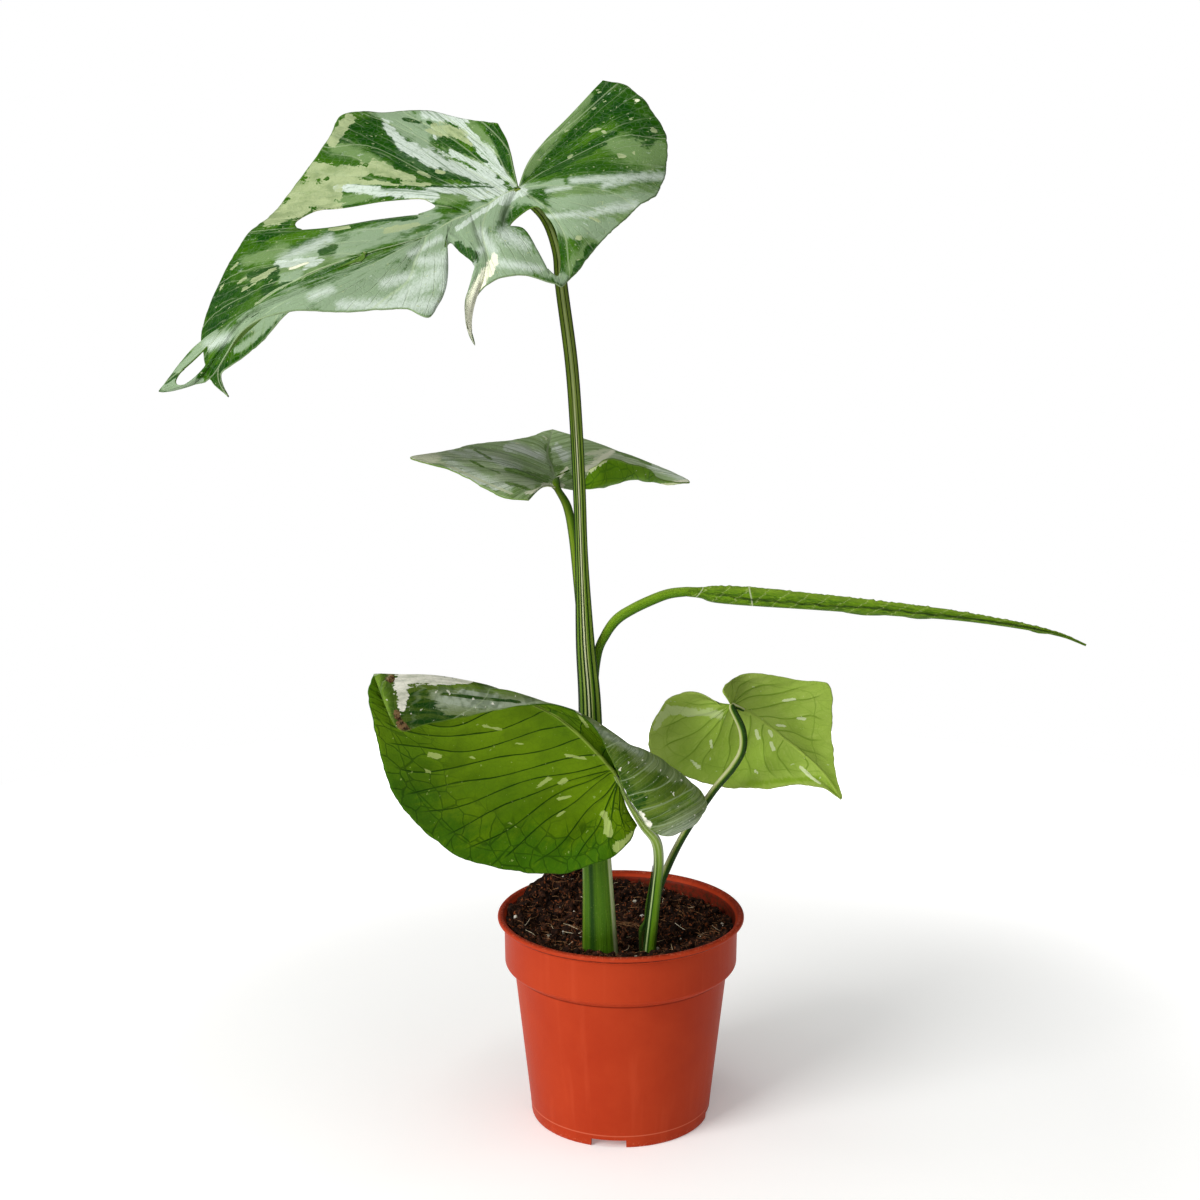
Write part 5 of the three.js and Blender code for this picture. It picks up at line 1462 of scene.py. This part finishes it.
# Leaf 3's blade
# The low front leaf. It hangs with its underside to the viewer, and its far half is turned over, so that its
# dark upper side shows as a strip along the top and as a cone at the right. Its underside's colour is made
# bright yellow-green to paint in the light shining through it.
LEAF_3 = {
    "midrib": [
        (-2, -50, 187), (-5, -52, 192), (-10, -56, 199), (-21, -64, 213), (-34, -74, 226), (-54, -86, 237),
        (-79, -102, 246), (-95, -112, 251), (-105, -118, 254),
    ],
    "left": [
        (0, (2, -48, 173), (7, -46, 163)),
        (0, (-3, -51, 170), (2, -53, 156)),
        (0, (-7, -51, 168), (-10, -62, 151)),
        (0, (-15, -52, 169), (-29, -69, 148)),
        (1, (-26, -57, 177), (-52, -77, 153)),
        (1, (-38, -62, 184), (-74, -86, 163)),
        (2, (-50, -71, 193), (-91, -96, 182)),
        (3, (-62, -80, 205), (-101, -106, 202)),
        (4, (-70, -88, 217), (-105, -113, 225)),
        (5, (-79, -97, 228), (-107, -118, 241)),
        (6, (-93, -107, 239), (-107, -119, 248)),
    ],
    "right": [
        (0, (8, -42, 174), (22, -40, 167), (33, -44, 164), (31, -52, 165)),
        (0, (13, -40, 176), (31, -38, 170), (38, -47, 171), (33, -57, 168), (22, -60, 163)),
        (0, (13, -39, 182), (30, -38, 180), (38, -48, 177), (28, -61, 174), (13, -62, 166)),
        (1, (9, -42, 191), (21, -41, 190), (28, -49, 186), (19, -61, 181), (6, -61, 176)),
        (1, (3, -45, 197), (13, -46, 198), (17, -53, 195), (10, -62, 190), (2, -60, 184)),
        (2, (-4, -52, 204), (3, -53, 204), (5, -58, 203), (0, -64, 201), (-4, -64, 197)),
        (3, (-16, -62, 217), (-13, -65, 219), (-13, -69, 217)),
        (4, (-31, -76, 229), (-29, -80, 230)),
        (5, (-53, -87, 239), (-52, -92, 238), (-54, -95, 232)),
        (6, (-79, -104, 249), (-82, -110, 243), (-84, -111, 230)),
        (7, (-96, -115, 252), (-98, -119, 245), (-96, -118, 231)),
    ],
    "veins": {
        "left": [0.5, 1.4, 2.3, 3.1, 3.8, 4.4, 5, 5.6, 6.2, 6.8, 7.4, 8, 8.6, 9.2, 9.8],
        "right": [0, 0.8, 1.6, 2.4, 3.2, 4, 5, 6, 7, 8],
    },
}
LEAF_3_MARKS = {
    "cream": {
        "right": [
            (401, 684, 402, 708, 9, 4), (404, 680, 436, 678, 8, 7), (428, 680, 470, 683, 6, 1.5),
            (640, 814, 648, 826, 3, 4), (577, 712, 588, 728, 1.5, 1),
        ],
        "left": [
            (604, 814, 609, 832, 4, 5), (618, 847, 634, 834, 5, 4), (430, 755, 440, 756, 3, 3.4),
            (425, 770, 430, 772, 2, 2), (537, 787, 549, 778, 1.5, 2.5), (560, 783, 565, 780, 2.6, 2.6),
            (559, 799, 571, 796, 2, 1), (557, 816, 565, 811, 1.5, 1.2), (566, 755, 585, 758, 1.5, 1.5),
            (484, 726, 490, 727, 1.2, 1), (494, 728, 502, 729, 1.3, 1), (470, 757, 474, 758, 1.2, 1.2),
            (515, 743, 522, 744, 1, 1),
        ],
    },
    # Silver, partly the leaf's own variegation and partly painted sheen.
    "silver_and_sheen": {
        "right": [(446, 700, 500, 706, 6, 4), (462, 692, 496, 697, 3, 3)],
    },
    # Painted highlights where the leaf's sheen catches the light.
    "painted_highlight": {
        "right": [(438, 700, 540, 706, 13, 6), (655, 842, 692, 824, 10, 12), (594, 728, 640, 754, 4, 5)],
    },
    # Grey-green, partly the leaf's own tone and partly painted sheen.
    "grey": {
        "right": [
            (440, 706, 565, 708, 18, 10), (655, 846, 704, 812, 18, 18), (588, 724, 640, 754, 7, 9),
            (640, 756, 696, 786, 9, 7),
        ],
    },
    "sage": {
        "right": [
            (372, 674, 382, 692, 10, 8), (382, 692, 388, 722, 8, 5), (430, 684, 560, 700, 3, 3),
            (690, 800, 700, 812, 10, 8),
        ],
    },
    # Dark green, partly the upper side's own colour and partly a painted shadow under the lower edge of the
    # turned-over strip.
    "dark": {
        "left": [(390, 790, 470, 860, 26, 36), (480, 860, 600, 860, 36, 34)],
        "right": [
            (404, 720, 424, 704, 11, 11), (410, 731, 434, 714, 8, 8), (408, 697, 424, 690, 3, 3),
            (430, 721, 556, 712, 4.2, 2.4), (426, 674, 458, 681, 2, 1.4), (440, 694, 520, 702, 1.5, 1.5),
            (616, 775, 636, 802, 6, 10), (602, 748, 615, 772, 3, 5),
        ],
    },
    "dead": {
        "right": [(389, 678, 390, 681, 4.5, 4), (396, 712, 402, 728, 3, 6), (402, 729, 413, 735, 5, 3)],
    },
}
leaf_3 = grown_blade("leaf_3_sheet", LEAF_3, LEAF_3_MARKS, [
    upper_side("leaf_3_upper", "113d06", "465f1a", "60752a", "68862a", "788858", "a9b59e", "f6f4e4",
               silver_scatter=0.68, cream_scatter=0.69, pleat_shade=0.4),
    # The underside's colour is made bright yellow-green to paint in the light shining through the leaf.
    under_side("leaf_3_under", "70920e", "3f6c0c", "b4c870", "1f4206", "9ab448", "3a6010", 0.6),
], rows=64, per_station=12, upper=(0, 1, 0), turned_grain=4.5)
settle(leaf_3, "leaf_underside", "leaf_3_blade")


# Leaf 4's petiole
# The thin stalk at the right, cream on its left and dark green on its right.
LEAF_4_PETIOLE = [
    (14.5, -30.5, PETIOLE_FOOT, 2.1, 2.1), (15, -30, 104, 2, 2), (17, -29, 122, 1.9, 1.9),
    (20.6, -29, 134, 1.9, 1.8), (29, -31, 153, 1.8, 1.8), (42, -34, 175, 1.8, 1.8),
    (51.4, -36, 188, 1.8, 1.8), (55.8, -36.6, 197, 1.8, 1.8), (55.6, -34.6, 206, 1.8, 1.8),
    (51.4, -27, 214.4, 1.5, 1.5), (53.6, -25.4, 214.2, 1.1, 1), (57, -23.6, 212.2, 0.8, 0.7),
]
THIN_STRIPES = [
    (-1.0, "c4c890"), (-0.7, "c9cc98"), (-0.45, "9cac5a"), (-0.25, "5f8020"), (-0.1, "2c500e"),
    (0.6, "1e3c0a"), (1.0, "183208"),
]
leaf_4_stalk = swept_stalk(
    "leaf_4_stalk", LEAF_4_PETIOLE, stalk_finish("thin_petiole", THIN_STRIPES), sides=24, pitch=0.8)
settle(leaf_4_stalk, "petiole", "leaf_4_petiole")


# Leaf 4's blade
# The small heart-shaped leaf at the right, seen from below against the light. Its underside's colour is made
# bright yellow-green to paint in the light shining through it.
LEAF_4 = {
    "midrib": [
        (51, -26, 215), (59, -22, 211), (67, -20, 205), (78, -20, 196), (93, -24, 184), (103, -31, 171),
    ],
    "left": [
        (0, (48, -22, 212), (44, -18, 215)),
        (0, (44, -13, 214), (34, -12, 218)),
        (0, (37, -8, 208), (21, -8, 212)),
        (0, (35, -6, 198), (13, -8, 193)),
        (0, (39, -8, 192), (20, -12, 181)),
        (0, (45, -10, 189), (34, -18, 177)),
        (1, (56, -12, 188), (50, -23, 174)),
        (2, (66, -14, 189), (67, -27, 175)),
        (3, (76, -18, 185), (81, -28, 177)),
        (4, (92, -25, 180), (94, -30, 176)),
    ],
    "right": [
        (0, (49, -30, 220), (47, -30, 223), (48, -26, 225)),
        (0, (52, -21, 221), (53, -16, 225), (57, -11, 226)),
        (0, (57, -14, 219), (63, -9, 222), (70, -6, 225)),
        (0, (63, -12, 216), (75, -6, 217), (86, -3, 221)),
        (1, (75, -10, 210), (89, -6, 214), (99, -4, 219)),
        (2, (84, -12, 202), (100, -9, 206)),
        (3, (91, -16, 191), (100, -15, 191)),
        (4, (98, -23, 182), (101, -22, 182)),
    ],
    "veins": {
        "left": [0.6, 1.4, 2.2, 3, 3.8, 4.6, 5.4, 6.2, 7, 7.8, 8.6],
        "right": [0.6, 1.4, 2.2, 3, 3.8, 4.6, 5.4, 6.2],
    },
}
LEAF_4_MARKS = {
    "silver_and_sheen": {
        "left": [(668, 710, 720, 714, 5, 5), (655, 728, 662, 716, 3, 4)],
    },
    "cream": {
        "both": [
            (756, 731, 759, 738, 2, 2), (770, 731, 772, 736, 1.6, 1.6), (771, 743, 774, 749, 1.5, 2),
            (711, 741, 712, 747, 1.6, 1.6), (691, 760, 699, 768, 1.6, 2), (777, 725, 785, 726, 1.4, 1.4),
            (798, 718, 805, 719, 1.6, 1.4), (783, 701, 795, 699, 1.5, 1.5), (801, 767, 812, 778, 2, 1.5),
            (812, 778, 820, 784, 1.5, 1), (755, 771, 757, 773, 1.4, 1.4),
        ],
    },
    "dark": {
        "both": [(830, 780, 838, 796, 6, 4), (750, 784, 820, 778, 4, 3)],
    },
}
leaf_4 = grown_blade("leaf_4_sheet", LEAF_4, LEAF_4_MARKS, [
    upper_side("leaf_4_upper", "2a4a12", "3c5a18", "4a6b26", "5c7a34", "7c8f62", "b4bfa8", "d3d4ac"),
    # The underside's colour is made bright yellow-green to paint in the light shining through the leaf.
    under_side("leaf_4_under", "a9bd60", "7a9a22", "c6d2a0", "74922e", "94ac48", "8ea050", 0.25),
], rows=50, per_station=12, upper=(0, 1, 0))
settle(leaf_4, "leaf_underside", "leaf_4_blade")


# The floor, the studio light and the camera
# A plain pale floor and soft white light, strongest from the left, with the camera at the photograph's view.
# The floor glows, weakly near the pot and fully towards its edge.
FLOOR_RADIUS = 700
FLOOR_SIDES = 64
FLOOR_SHADE = 230
ROOM_STRENGTH = 0.16
LENS = 63
SENSOR = 36


def studio_floor():
    turns = [k * 2 * math.pi / FLOOR_SIDES for k in range(FLOOR_SIDES)]
    edge = [(FLOOR_RADIUS * math.cos(turn), FLOOR_RADIUS * math.sin(turn), 0) for turn in turns]
    thing = new_object("studio_floor", edge, [range(FLOOR_SIDES)])
    paint = Finish("pale_floor")
    paint.shader.inputs["Base Color"].default_value = tint("f4f4f2")
    paint.shader.inputs["Roughness"].default_value = 0.9
    paint.shader.inputs["Emission Color"].default_value = (1, 1, 1, 1)
    outward = paint.add("ShaderNodeVectorMath", {0: paint.place}, output="Value", operation="LENGTH")
    # The floor glows, more strongly further from the pot.
    glow = outward.rise(FLOOR_SHADE * MM, 0.9 * FLOOR_RADIUS * MM, 0.2, 1.0)
    paint.tree.links.new(glow.socket, paint.shader.inputs["Emission Strength"])
    thing.data.materials.append(paint.material)


def soft_box(name, place, aim, width, height, power):
    light = bpy.data.lights.new(name, "AREA")
    light.shape = "RECTANGLE"
    light.size = width
    light.size_y = height
    light.energy = power
    thing = bpy.data.objects.new(name, light)
    thing.location = place
    thing.rotation_euler = (Vector(aim) - Vector(place)).to_track_quat("-Z", "Y").to_euler()
    bpy.context.collection.objects.link(thing)


def white_room():
    """White behind the part for the camera, and dimmer white for the light that reaches the part."""
    world = bpy.data.worlds.new("white_room")
    world.use_nodes = True
    tree = world.node_tree
    sight = wired(tree, "ShaderNodeLightPath").outputs["Is Camera Ray"]
    strength = wired(tree, "ShaderNodeMapRange", {0: sight, 1: 0, 2: 1, 3: ROOM_STRENGTH, 4: 1.0})
    tree.links.new(strength.outputs[0], tree.nodes["Background"].inputs["Strength"])
    tree.nodes["Background"].inputs["Color"].default_value = (1, 1, 1, 1)
    bpy.context.scene.world = world


studio_floor()
white_room()
soft_box("key_light", (-1.35, -1.2, 1.0), (0, 0, 0.25), 1.0, 1.0, 33)
soft_box("top_light", (-0.2, -0.4, 2.2), (0, 0, 0.2), 1.8, 1.4, 26)
camera_data = bpy.data.cameras.new("camera")
camera_data.lens = LENS
camera_data.sensor_width = SENSOR
camera = bpy.data.objects.new("camera", camera_data)
camera.location = [c * MM for c in VIEW_FROM]
camera.rotation_euler = (math.pi / 2 - VIEW_DOWN, 0, 0)
bpy.context.collection.objects.link(camera)
bpy.context.scene.camera = camera
bpy.context.scene.view_settings.view_transform = "Standard"
